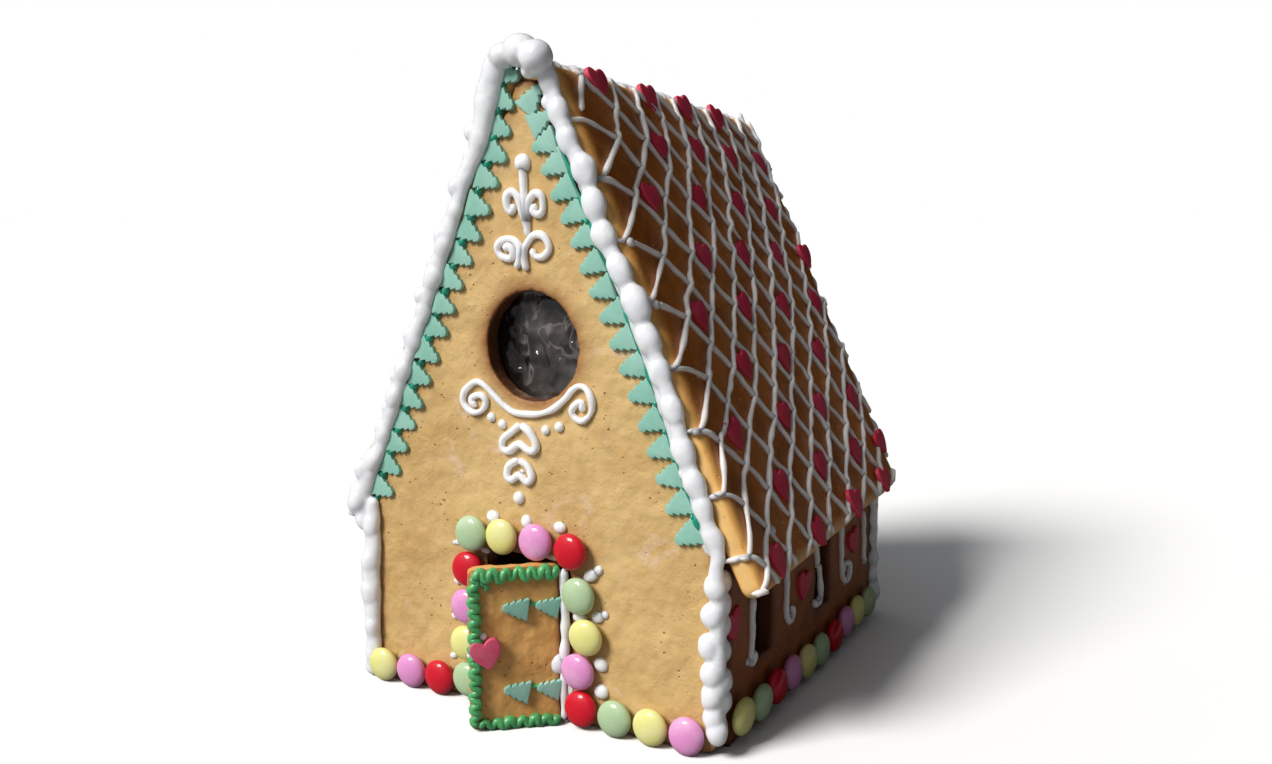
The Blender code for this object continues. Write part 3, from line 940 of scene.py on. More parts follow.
@dataclass(frozen=True)
class Sheet:
    """How one CAD panel is baked.

    Attributes:
        node: the CAD node.
        finish: what it is made of.
        slot: the name of its material slot; not used.
        axis: the direction of its thickness, roughly.
        voxel: how fine its mesh is.
        waves: the widths and heights of its unevenness.
        fade: how far its rim colour reaches in from its edges: baked browning, on the roof panels a painted
            golden highlight.
    """

    node: str
    finish: Finish
    slot: str
    axis: Vector
    voxel: float
    waves: tuple[Point2, ...]
    fade: float

    NARROW = 0.55  # a face whose normal has a smaller cosine than this with the axis is a narrow side
    WELD = 0.01  # CAD points this near each other are one point
    FALL = 1.6  # the power with which the rim colour fades
    TURNED = (1.5, -0.5)  # what turns a normal's slant from the axis into the mark of a narrow side

    def cad_mesh(self) -> bpy.types.Mesh:
        """Return the panel's CAD mesh as one closed skin in millimetres."""
        bm = bmesh.new()
        bm.from_mesh(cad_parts[self.node].data)
        bmesh.ops.scale(bm, vec=(1 / MM, 1 / MM, 1 / MM), verts=bm.verts)
        bmesh.ops.remove_doubles(bm, verts=bm.verts, dist=self.WELD)
        return to_mesh(bm, self.node)

    def edge_tree(self, mesh: bpy.types.Mesh) -> BVHTree:
        """Return a tree of the panel's narrow sides and the insides of its openings."""
        axis = self.axis.normalized()
        points = [vertex.co.copy() for vertex in mesh.vertices]
        faces = [list(face.vertices) for face in mesh.polygons
                 if abs(face.normal.dot(axis)) < self.NARROW]
        return BVHTree.FromPolygons(points, faces)

    def bake(self, seed: int) -> bpy.types.Mesh:
        """Return the uneven panel, its points marked with how near an edge they lie."""
        mesh = self.cad_mesh()
        edges = self.edge_tree(mesh)
        mesh = melt(mesh, self.voxel, soften=2)
        roughen(mesh, self.waves, seed)
        # the attribute "rim" places the rim and side colours: baked browning, painted shade and a painted
        # golden highlight, by finish
        rim = mesh.attributes.new("rim", "FLOAT", "POINT")
        near = (edges.find_nearest(vertex.co)[3] for vertex in mesh.vertices)
        distance = np.fromiter(near, np.float32, len(mesh.vertices))
        slant = 1.0 - np.abs(read_points(mesh)[1] @ np.array(self.axis.normalized()))
        narrow = np.clip(slant * self.TURNED[0] + self.TURNED[1], 0.0, 1.0)
        near_edge = np.clip(1.0 - distance / self.fade, 0.0, 1.0) ** self.FALL
        rim.data.foreach_set("value", (near_edge + narrow).astype(np.float32))
        mesh.shade_smooth()
        return mesh


WALL_WAVES = ((17.0, 0.5), (6.0, 0.4), (2.6, 0.22))
ROOF_WAVES = ((23.0, 0.7), (8.0, 0.22))
SHEETS = (
    # the gables' browning reaches 9 mm in, so that along their edges it also paints part of the shade beside
    # the icing
    Sheet("front_gable", Finish.WALL, "biscuit", BACK, 1.1, WALL_WAVES, 9.0),
    Sheet("back_gable", Finish.WALL, "biscuit", BACK, 1.5, WALL_WAVES, 9.0),
    Sheet("right_wall", Finish.SIDE, "biscuit", RIGHT, 1.3, WALL_WAVES, 5.0),
    Sheet("left_wall", Finish.SIDE, "biscuit", RIGHT, 1.5, WALL_WAVES, 5.0),
    # on the roof panels the rim colour is a painted golden highlight, reaching 7.5 mm in from their edges
    Sheet("right_roof", Finish.ROOF, "roof_biscuit", Vector((0.91, 0.0, 0.41)), 1.3, ROOF_WAVES, 7.5),
    Sheet("left_roof", Finish.ROOF, "roof_biscuit", Vector((-0.91, 0.0, 0.41)), 1.6, ROOF_WAVES, 7.5),
    Sheet("door", Finish.DOOR, "door_biscuit", Vector((-0.64, 0.77, 0.0)), 0.7, WALL_WAVES, 2.5),
)


class Sides:
    """The baked panels and the door, and the faces on them that trimmings are laid on."""

    INSET = 20.0  # how far from the ends of the house a roof panel's slope is measured
    LOW, HIGH = 110.0, 220.0  # the heights between which it is measured

    def __init__(self, house: House, kitchen: Kitchen) -> None:
        """Bake every panel, and keep its surface.

        Args:
            house: the house's measures.
            kitchen: what finishes the panels.
        """
        self.house = house
        self.surfaces: dict[str, Surface] = {}
        for seed, sheet in enumerate(SHEETS, 1):
            mesh = sheet.bake(seed)
            self.surfaces[sheet.node] = Surface(mesh)
            name = sheet.node.replace("_", "-") + "-baked"
            kitchen.serve(name, mesh, sheet.finish, [sheet.node])

    def gable(self, back: bool) -> Face:
        """Return a gable: u from the middle to the viewer's right, v up from the ground."""
        y = self.house.back if back else self.house.front
        turn = -1.0 if back else 1.0
        surface = self.surfaces[END[back] + "_gable"]
        return Face(surface, lambda u, v: Vector((turn * u, y, v)), RIGHT * turn, UP)

    def wall(self, side: int) -> Face:
        """Return a long wall: u is the distance behind the front, v the height."""
        node = SIDE[side] + "_wall"
        x = (self.house.high(node) if side > 0 else self.house.low(node)).x
        front = self.house.front
        return Face(self.surfaces[node], lambda u, v: Vector((x, front + u, v)), BACK * side, UP)

    def roof(self, side: int) -> Face:
        """Return a roof panel: u is the distance behind the front, v the distance down the slope."""
        node = SIDE[side] + "_roof"
        cad, front, depth = self.house.solid(node), self.house.front, self.house.depth
        corners = []
        for beside in (self.INSET, depth - self.INSET):
            low, high = (cad.hit(Vector((side * 2 * FAR, front + beside, z)), RIGHT * -side)
                         for z in (self.LOW, self.HIGH))
            down = (low - high).normalized()
            ridge = blend(*self.house.RIDGE, beside / depth)
            corners.append((high + down * ((ridge - high.z) / down.z), down))
        (first, down_first), (last, down_last) = corners
        along = (last - first) / (last - first).y

        def place(u: float, v: float) -> Vector:
            """Return the point at flat coordinates."""
            share = (u - self.INSET) / (depth - 2 * self.INSET)
            down = (down_first * (1 - share) + down_last * share).normalized()
            return first + along * (u - self.INSET) + down * v

        down = (down_first + down_last).normalized()
        level = (along - down * along.dot(down)).normalized()
        return Face(self.surfaces[node], place, level * side, -down)

    def door(self) -> Face:
        """Return the door's outer face: u is negative and grows to the hinge, v up from the ground."""
        middle, normal = main_side("door", -BACK)
        across = UP.cross(normal)
        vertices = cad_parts["door"].data.vertices
        reach = max(vertex.co.dot(across) for vertex in vertices) / MM
        start = middle - across * middle.dot(across) - UP * middle.z
        return Face(self.surfaces["door"], lambda u, v: start + across * (reach + u) + UP * v,
                    across, UP)


# ---------------- thick icing


@dataclass(frozen=True)
class Strand:
    """A strand of icing down the edge of a gable.

    Attributes:
        track: knots of height, distance outside the gable's edge, and half of its width and height.
        rise: how far its middle stands off the gable.
        bead: half of a full bead's length, width and height.
        beads: the heights of its beads and their sizes as shares.
        lumps: the heights, the distances outside the gable's edge and the radii of the lumps beside it.
    """

    track: tuple[tuple[float, float, float, float], ...]
    rise: float = 1.6
    bead: Point3 = (6.8, 4.4, 3.1)
    beads: tuple[Point2, ...] = ()
    lumps: tuple[Point3, ...] = ()


RIGHT_ROPE = Strand(
    track=((250.0, 9.0, 3.4, 3.0), (232.0, 6.3, 3.4, 2.9), (222.0, 6.3, 3.4, 2.9), (211.0, 7.9, 3.3, 2.9),
           (198.0, 6.0, 3.5, 2.9), (188.0, 5.4, 3.4, 2.9), (176.0, 6.2, 3.4, 2.9), (164.0, 7.5, 3.6, 2.9),
           (140.0, 6.8, 3.1, 2.8), (127.0, 6.0, 3.1, 2.8), (113.0, 2.9, 3.3, 2.8), (101.0, 2.7, 3.3, 2.8),
           (91.0, 1.6, 3.3, 2.8), (79.0, 1.0, 3.1, 2.7), (73.0, -0.9, 2.9, 2.5), (66.0, -1.0, 3.2, 2.6)),
    beads=((243.0, 1.0), (232.5, 0.95), (222.0, 1.0), (211.0, 1.05), (199.0, 1.1), (188.0, 1.08),
           (176.0, 1.1), (164.0, 1.2), (151.5, 1.1), (140.0, 0.97), (127.0, 0.98), (112.0, 1.05),
           (101.0, 0.98), (92.0, 0.97), (82.0, 0.93)),
    lumps=((236.0, 3.6, 2.6), (213.5, 11.0, 2.6), (168.0, 10.8, 2.4), (104.5, -0.6, 1.8)),
)
BED = Strand(
    track=((244.0, 5.4, 3.6, 2.4), (210.0, 5.0, 3.0, 1.9), (180.0, 4.3, 3.0, 1.9), (150.0, 3.0, 3.0, 1.9),
           (130.0, 2.0, 3.0, 1.9), (115.0, 0.5, 3.0, 1.9), (100.0, -0.4, 2.8, 1.8), (78.0, -2.6, 2.8, 1.7)),
    rise=0.2,
)
LEFT_ROPE = Strand(
    track=((252.0, 10.4, 4.8, 4.4), (240.0, 9.2, 5.8, 4.5), (230.0, 6.8, 4.6, 4.0), (220.0, 5.7, 3.9, 3.4),
           (210.0, 7.0, 3.5, 3.0), (200.0, 6.6, 3.2, 2.8), (190.0, 6.6, 3.9, 3.0), (180.0, 5.9, 3.6, 3.0),
           (170.0, 6.0, 3.8, 3.0), (160.0, 5.8, 3.0, 2.8), (150.0, 5.7, 3.3, 2.9), (140.0, 5.5, 3.1, 2.8),
           (130.0, 6.0, 3.8, 3.0), (120.0, 5.2, 3.4, 2.9), (111.0, 4.8, 3.2, 2.9), (100.0, 4.6, 3.2, 2.9),
           (90.0, 6.3, 4.4, 3.3), (78.0, 5.4, 4.8, 3.6), (70.0, 3.6, 4.2, 3.3)),
    beads=((236.0, 1.15), (224.0, 1.0), (214.0, 0.85), (197.0, 0.85), (183.0, 0.9), (171.0, 0.95),
           (157.0, 0.85), (145.0, 0.85), (133.0, 0.95), (122.0, 0.9), (106.0, 0.85), (94.0, 1.0)),
    lumps=((243.0, 11.5, 3.6), (227.0, 10.9, 3.1), (218.0, 8.6, 2.8), (206.0, 10.0, 3.2), (188.0, 9.3, 3.2),
           (176.0, 8.4, 2.7), (164.0, 8.7, 3.0), (148.0, 8.3, 2.8), (131.0, 8.5, 3.0), (118.0, 7.6, 2.8),
           (109.0, 7.9, 3.0), (96.0, 7.4, 3.2), (90.0, 9.4, 4.1), (76.5, 6.4, 5.2), (81.0, 8.6, 3.7),
           (68.6, 3.4, 3.7)),
)
LEFT_COLUMN = Strand(
    track=((77.0, -1.6, 3.0, 2.6), (69.0, -1.4, 3.9, 3.0), (60.0, -1.3, 4.0, 3.1), (55.0, -0.7, 4.4, 3.2),
           (46.0, 0.7, 4.8, 3.3), (38.0, 0.6, 4.6, 3.2), (28.0, 0.3, 3.7, 3.1), (20.0, 0.4, 3.6, 3.1),
           (12.0, 0.8, 3.9, 3.1), (3.4, 1.1, 4.2, 3.0)),
    beads=((66.0, 0.95), (50.0, 1.02), (37.0, 1.0), (22.0, 0.84), (9.0, 0.9)),
)
BACK_ROPE = Strand(
    track=((234.0, 5.5, 2.4, 2.2), (222.0, 6.5, 2.8, 2.6), (90.0, 6.0, 2.8, 2.6), (74.0, 0.5, 2.6, 2.4),
           (64.0, -1.0, 2.8, 2.5)),
    beads=tuple((229.0 - 11.4 * index, 0.82 if index == 0 else 1.0) for index in range(14)),
)


class ThickIcing:
    """The ropes over the roof's ends, the peaks, the upright corners and the ridge."""

    STRANDS = {(False, 1): (RIGHT_ROPE, BED), (False, -1): (LEFT_ROPE, LEFT_COLUMN),
               (True, 1): (BACK_ROPE, BED), (True, -1): (BACK_ROPE, BED)}
    SLICE = 1.1  # the distance between the dabs that make up a strand under its beads
    SLICE_HALF = 3.0  # half of their length
    FLAT = 0.86  # how high they are, as a share of the track's height
    BEAD_VARY, BEAD_TAPER = 0.06, 0.14
    SWAY = (0.5, 0.6)  # how far a bead may stray sideways and outwards
    LUMP = (1.28, 1.0, 0.9)  # a lump's half sizes, as shares of its radius

    CORE = (11.0, 69.0, 2.0)  # the lowest and highest dabs inside a corner's shells, and their distance
    CORE_HALF = (3.2, 3.1, 3.2)
    CORE_IN = 0.8  # how far inside the corner they lie
    SHELL_VARY = 0.05
    # a corner's shells on the gable and on the long wall: how far in front of the gable they lie, their
    # half sizes, and their heights with their distances outside the corner
    SHELLS = (
        (1.2, (4.3, 3.4, 5.2), ((64.0, -1.5), (54.0, -2.6), (42.0, -4.1), (32.0, -2.8), (23.5, -2.8),
                                (15.5, -2.0), (10.5, -0.6))),
        (-2.4, (3.0, 3.7, 4.6), ((66.0, 0.0), (57.5, -0.1), (49.5, -0.5), (40.0, -0.4), (29.0, 0.7),
                                 (21.0, 0.6), (11.0, -1.3))),
    )

    # an end's peak: its blobs' places across, in front of the gable and over the top, and half sizes
    PEAKS = {
        False: ((9.0, 5.3, -8.9, (6.2, 6.0, 6.5)), (1.5, 3.4, -6.2, (7.4, 6.2, 6.0)),
                (-6.4, 2.6, -7.2, (6.6, 5.6, 4.8)), (3.0, -2.0, -7.0, (7.5, 5.5, 5.0)),
                (6.0, 5.0, -13.5, (3.4, 3.0, 3.0))),
        True: ((0.0, 1.6, -8.4, (7.5, 4.6, 4.4)), (-4.5, 1.6, -11.5, (5.5, 4.4, 5.0)),
               (4.5, 1.4, -12.0, (5.0, 4.0, 5.0))),
    }
    VOXEL = {False: 0.6, True: 0.85}
    WAVES = ((8.0, 0.55), (3.5, 0.2))

    RIDGE_DABS = 46
    RIDGE_START = 2.0  # how far behind the front they start
    RIDGE_HALF = (5.4, 3.2, 3.7)
    RIDGE_VARY = (0.25, 0.2)  # how much their widths and lengths differ
    RIDGE_SINK = 1.2  # how far under the roof's top edge they lie
    RIDGE_STRAY = (1.6, 0.8)  # how far they may stray sideways, and up or down
    DRIP_CHANCE = 0.45
    DRIP_SIZE = (1.4, 2.6)
    DRIP_BESIDE = (2.0, 6.0)  # how far from the ridge the drips beside it lie, and 1 more
    DRIP_FALL, DRIP_STRETCH = 2.18, 1.7
    RIDGE_VOXEL = 0.75
    RIDGE_WAVES = ((4.0, 0.25),)

    def __init__(self, house: House) -> None:
        """Keep the house's measures, and start the random differences."""
        self.house = house
        self.random = random.Random(Seed.BLOBS)

    def vary(self, share: float) -> float:
        """Return a factor that differs from 1 by up to a share."""
        return 1.0 + self.random.uniform(-share, share)

    def pipe(self, piping: Piping, back: bool, side: int, strand: Strand) -> None:
        """Pipe a strand with its beads and lumps.

        Args:
            piping: where the icing goes.
            back: whether it lies on the back gable.
            side: 1 for the slope on the right, -1 on the left, in the frame's axes.
            strand: the strand.
        """
        out = BACK if back else -BACK
        y = (self.house.back if back else self.house.front) + out.y * strand.rise
        heights, offsets, widths, depths = np.array(sorted(strand.track)).T

        def place(z: float, offset: float | None = None) -> Matrix:
            """Return the place and directions at a height: X down the strand, Z away from the gable."""
            ends = []
            for level in (z + 1.0, z - 1.0):
                beside = float(np.interp(level, heights, offsets)) if offset is None else offset
                ends.append(Vector((side * (self.house.edge(back, level) + beside), y, level)))
            along = (ends[1] - ends[0]).normalized()
            return basis(along, out.cross(along), out, (ends[0] + ends[1]) / 2)

        for z in np.arange(heights[0], heights[-1], self.SLICE).tolist():
            width, depth = (float(np.interp(z, heights, column)) for column in (widths, depths))
            piping.dab(place(z), (self.SLICE_HALF, width, depth * self.FLAT), fine=2)
        for z, share in strand.beads:
            size = [half * share * self.vary(self.BEAD_VARY) for half in strand.bead]
            sideways = side * self.random.uniform(-self.SWAY[0], self.SWAY[0])
            sway = Vector((sideways, out.y * self.random.uniform(0.0, self.SWAY[1]), 0.0))
            piping.dab(Matrix.Translation(sway) @ place(z), size, self.BEAD_TAPER)
        for z, offset, radius in strand.lumps:
            piping.dab(place(z, offset), [radius * share for share in self.LUMP])

    def shell_corner(self, piping: Piping, back: bool, side: int) -> None:
        """Pipe shells down an upright corner, a row on the gable and a row on the long wall."""
        y, turn = (self.house.back, 1.0) if back else (self.house.front, -1.0)
        x = self.house.edge(back, 0.0)
        for z in np.arange(*self.CORE).tolist():
            piping.dab(Matrix.Translation((side * (x - self.CORE_IN), y, z)), self.CORE_HALF, fine=2)
        for out, size, shells in self.SHELLS:
            for z, beside in shells:
                share = self.vary(self.SHELL_VARY)
                centre = (side * (x + beside), y + turn * out, z)
                piping.dab(Matrix.Translation(centre), [half * share for half in size])

    def peak(self, piping: Piping, back: bool) -> None:
        """Pipe the blob that covers the meeting of the two ropes."""
        y, turn = (self.house.back, 1.0) if back else (self.house.front, -1.0)
        top = self.house.high(END[back] + "_peak").z
        for x, out, over, size in self.PEAKS[back]:
            piping.dab(Matrix.Translation((x, y + turn * out, top + over)), size)

    def ends(self, kitchen: Kitchen) -> None:
        """Make the icing of both ends of the house."""
        for back, end in END.items():
            piping = Piping(Seed.ENDS + back)
            for side in SIDE:
                for strand in self.STRANDS[back, side]:
                    self.pipe(piping, back, side, strand)
                if side > 0 or back:
                    self.shell_corner(piping, back, side)
            self.peak(piping, back)
            mesh = melt(piping.mesh(end), self.VOXEL[back], soften=3)
            roughen(mesh, self.WAVES, seed=3.0 + back)
            nodes = [end + "_peak"]
            for side in SIDE.values():
                nodes += [f"{end}_rope_{side}", f"{end}_{side}_corner"]
            kitchen.serve(end + "-icing", mesh, Finish.WHITE, nodes)

    def ridge(self, kitchen: Kitchen) -> None:
        """Make the lumpy icing between the two roof panels."""
        piping = Piping(Seed.RIDGE)
        uniform = self.random.uniform
        start = self.house.front + self.RIDGE_START
        length = self.house.high("ridge_icing").y - start
        aside, above = self.RIDGE_STRAY
        for index in range(self.RIDGE_DABS):
            share = (index + 0.5) / self.RIDGE_DABS
            y, top = start + length * share, blend(*self.house.RIDGE, share)
            wide = self.RIDGE_HALF[0] * self.vary(self.RIDGE_VARY[0])
            centre = Vector((uniform(-aside, aside), y, top - self.RIDGE_SINK + uniform(-above, above)))
            long = self.RIDGE_HALF[1] * self.vary(self.RIDGE_VARY[1])
            piping.dab(Matrix.Translation(centre), (wide, long, self.RIDGE_HALF[2]), fine=2)
            for side in SIDE:
                if self.random.random() < self.DRIP_CHANCE:
                    size, beside = uniform(*self.DRIP_SIZE), uniform(*self.DRIP_BESIDE)
                    centre = Vector((side * (beside + 1.0), y, top - self.DRIP_FALL * beside))
                    piping.dab(Matrix.Translation(centre), (size, size, size * self.DRIP_STRETCH), fine=2)
        mesh = melt(piping.mesh("ridge"), self.RIDGE_VOXEL, soften=3)
        roughen(mesh, self.RIDGE_WAVES, seed=7.0)
        kitchen.serve("ridge-lumps", mesh, Finish.WHITE, ["ridge_icing"])


# ---------------- roof trimmings


class Roofing:
    """The lattice of piped icing on a roof panel, with a sugar heart in every other diamond."""

    DEPTH = 172.0
    FIRST = 1.2  # how far down the slope the first row of diamonds lies
    PITCH = 24.2
    RIM = 1.6  # how far behind the front the threads turn down over the panel's round front edge
    SHORT = (-11, -13)  # the falling threads that end in a blob just behind that edge
    STRAY = ((18.0, 1.8, 0.6), (11.0, 11.0, 0.6), (6.0, 20.0, 0.6))  # the rising thread nearest the front
    DROP = (24.5, 187.0)  # the single drop near the eaves
    TILT = 1.5  # how far each column nearer the front than the middle one sinks
    # for each row of diamonds: its middle column's depth, a diamond's width, and the forward bow
    ROWS = (
        (65.0, 16.0, 1.7), (76.0, 16.5, 1.7), (75.0, 18.8, 1.2), (78.0, 18.6, 1.5), (77.0, 20.2, 0.65),
        (76.0, 20.0, 1.0), (72.0, 20.3, 1.8), (66.0, 21.5, 0.4), (62.0, 21.5, 0.0),
    )
    SHORT_OF = 0.001  # how far short of the last row a place stays, so that one row follows it
    EAVES = 5.5  # how far above a panel's lower edge its face ends
    JITTER = 1.7  # how far the diamonds' corners stray
    WAVES = (2.3, 9.1, 2.9)  # how far apart in the noise two columns, two panels and two rows lie
    NUMBERS = range(-25, 31, 2)  # the threads of each family
    STEPS, QUARTERS = 80, 4  # how many places of a thread are looked at, and how many for each crossing
    CROSSING = {True: 1.3, False: 0.6}  # a rising and a falling thread's height where they cross
    BETWEEN, FLAT = 0.65, 0.6  # their height between crossings, and where nothing crosses them
    FOREMOST = -2.6  # the column in front of which there is no thread
    RIM_BACK = 1.0  # how far in front of the back the threads end
    START = 1.6  # how far down the slope the threads from the ridge start
    DROOP = (0.6, 0.3)  # how far past the face's lower end a thread goes, and its height there
    LEAD = (6.0, 4.0)  # how far above a falling thread's first crossing its end and the bend before it lie
    BLOB = 4.5  # how far behind the front the short threads end
    TAIL = 18.0  # how far below its last crossing a rising thread reaches the front
    OVER = ((1.0, 1.0), (0.5, 0.7))  # points over the front edge: shares of the reach, and how far ahead
    SHRUNK = 0.3  # of what is left of RIM there
    REACH, TAIL_REACH = 5.5, 4.0  # how far over the front edge falling and rising threads reach
    FARTHER = (150.0, 0.14)  # from where down the slope they reach farther, and by how much for each mm
    STEP = 1.4  # the distance between the points of a thread's path
    RADII = (0.98, 1.14)
    SWELL, ENDS = 0.2, 1.15

    # the hearts: the columns and rows that are looked at, and how far behind the front their diamonds'
    # middles lie at least and at most, and at most in the first row
    COLUMNS, LINES = range(-4, 9), range(9)
    INSIDE, FIRST_INSIDE = (16.0, 175.0), 150.0
    HEART_MARGIN = (8.0, 5.5, 4.0)  # how far they stay from the back, the ridge and the eaves
    HEART_DOWN = 0.6  # how far under its diamond's middle a heart lies
    HEART_LIFT = (-0.35, 0.9)  # how far it stands off, and where it lies on threads
    HEART_TURN, HEART_WIDE, HEART_HIGH = (-14, 14), (0.94, 1.06), (0.92, 1.04)

    def __init__(self, face: Face, eaves: Point2, seed: int) -> None:
        """Keep the face, the heights of its lower edge, and what makes this panel's piping its own."""
        self.face = face
        steep = abs(face.up.z)
        self.lengths = [(ridge - eave) / steep for ridge, eave in zip(House.RIDGE, eaves)]
        self.seed = seed
        self.random = random.Random(seed)

    def last(self, depth: float) -> float:
        """Return how far down the slope the panel's face ends at a depth."""
        return blend(*self.lengths, min(max(depth / self.DEPTH, 0.0), 1.0)) - self.EAVES

    def place(self, p: float, q: float) -> Point2:
        """Return the flat coordinates of a place in the lattice.

        Args:
            p: its column, in diamonds.
            q: its row, in diamonds.

        Returns:
            Its depth and its distance down the slope.
        """
        row = min(max(q, 0.0), len(self.ROWS) - 1 - self.SHORT_OF)
        low, share = int(row), row % 1.0
        middle, width, bow = (blend(a, b, share) for a, b in zip(self.ROWS[low], self.ROWS[low + 1]))
        ahead = min(p, 0.0)
        across, apart, along = self.WAVES
        at = Vector((p * across + self.seed * apart, q * along, 0.5))
        jitter = noise.noise_vector(at) * self.JITTER
        depth = middle + width * p - bow * ahead * ahead + jitter.x
        return depth, self.FIRST + self.PITCH * q - self.TILT * ahead + jitter.y

    def line(self, number: int, rising: bool) -> list[list[float]]:
        """Return one thread's corners: flat coordinates and heights over the panel.

        Args:
            number: its odd number in its family.
            rising: whether it climbs towards the back, and so lies over the other family.

        Returns:
            The corners from the ridge down.
        """
        points: list[list[float]] = []
        from_ridge = dripping = False
        for step in range(self.STEPS):
            level = step / self.QUARTERS
            p = (number - level if rising else number + level) / 2
            depth, down = self.place(p, level / 2)
            if p < self.FOREMOST or depth > self.DEPTH - self.RIM_BACK:
                continue
            from_ridge |= step == 0
            dripping = down > self.last(depth)
            if dripping:
                points.append([depth, self.last(depth) + self.DROOP[0], self.DROOP[1]])
                break
            points.append([depth, down, self.BETWEEN if step % self.QUARTERS else self.CROSSING[rising]])
        if len(points) < 2:
            return []
        first, last = points[0], points[-1]
        if from_ridge:
            first[1] = self.START
        elif not rising:
            end, bend = (first[1] - lead for lead in self.LEAD)
            points.insert(0, [first[0] / 2, bend, self.BETWEEN])
            points.insert(0, [self.BLOB if number in self.SHORT else self.RIM, end, self.FLAT])
        if rising and not dripping and last[0] < self.DEPTH / 2:
            points.append([self.RIM, min(last[1] + self.TAIL, self.last(0.0)), self.FLAT])
        return points

    def over_rim(self, down: float, reach: float) -> list[Vector]:
        """Return the points on which a thread goes on over the panel's front edge, from its end inwards.

        Args:
            down: how far down the slope it meets the edge.
            reach: how far over the edge it goes.
        """
        points = []
        for share, ahead in self.OVER:
            start = self.face.place(self.RIM * self.SHRUNK - ahead, down - share)
            points.append(start - self.face.normal * reach * share)
        return points

    def lattice(self, kitchen: Kitchen, name: str) -> None:
        """Pipe the lattice as one piece."""
        piping = Piping(self.seed, 3)
        for rising in (False, True):
            for corners in (self.line(number, rising) for number in self.NUMBERS):
                if len(corners) < 3:
                    continue
                (start, high, _), (end, low, _) = corners[0], corners[-1]
                path = self.face.path(corners, self.STEP)
                if start == self.BLOB:
                    piping.dot(self.face.lay(start, high), radius=2.0, height=1.5)
                if start == self.RIM:
                    farther = max(0.0, high - self.FARTHER[0]) * self.FARTHER[1]
                    path = self.over_rim(high, self.REACH + farther) + path
                if end == self.RIM:
                    path += reversed(self.over_rim(low, self.TAIL_REACH))
                piping.thread(path, self.random.uniform(*self.RADII), self.SWELL, self.ENDS)
        piping.thread(self.face.path(self.STRAY, self.STEP), radius=1.2, swell=self.SWELL)
        piping.dot(self.face.lay(*self.DROP), radius=1.9, height=1.3)
        kitchen.serve(name, piping.mesh(name), Finish.ROOF_THREAD)

    def hearts(self, cutter: Cutter) -> None:
        """Lay a heart in every other diamond, its point down the slope."""
        behind, ridge, eaves = self.HEART_MARGIN
        for q in self.LINES:
            for p in self.COLUMNS:
                depth, down = self.place(p, q)
                inside = self.INSIDE[0] <= depth <= (self.INSIDE[1] if q else self.FIRST_INSIDE)
                if (p + q) % 2 or not inside:
                    continue
                kept = (min(depth, self.DEPTH - behind),
                        min(max(down + self.HEART_DOWN, ridge), self.last(depth) - eaves))
                lift = self.HEART_LIFT[kept[0] < depth or kept[1] < down]
                spot = self.face.lay(*kept).matrix(self.random.uniform(*self.HEART_TURN), lift)
                wide, high = self.random.uniform(*self.HEART_WIDE), self.random.uniform(*self.HEART_HIGH)
                cutter.lay(spot @ scale_matrix(wide, high, 1.0))


# ---------------- trees and hearts


TREE_HALF = ((0.9, 5.3), (2.5, 3.3), (1.7, 2.7), (3.6, 0.8), (2.8, 0.1), (4.6, -1.9), (3.8, -2.6),
             (5.3, -4.7), (4.9, -5.3))
TREE_OUTLINE = [(-x, y) for x, y in TREE_HALF] + [(x, y) for x, y in reversed(TREE_HALF)]


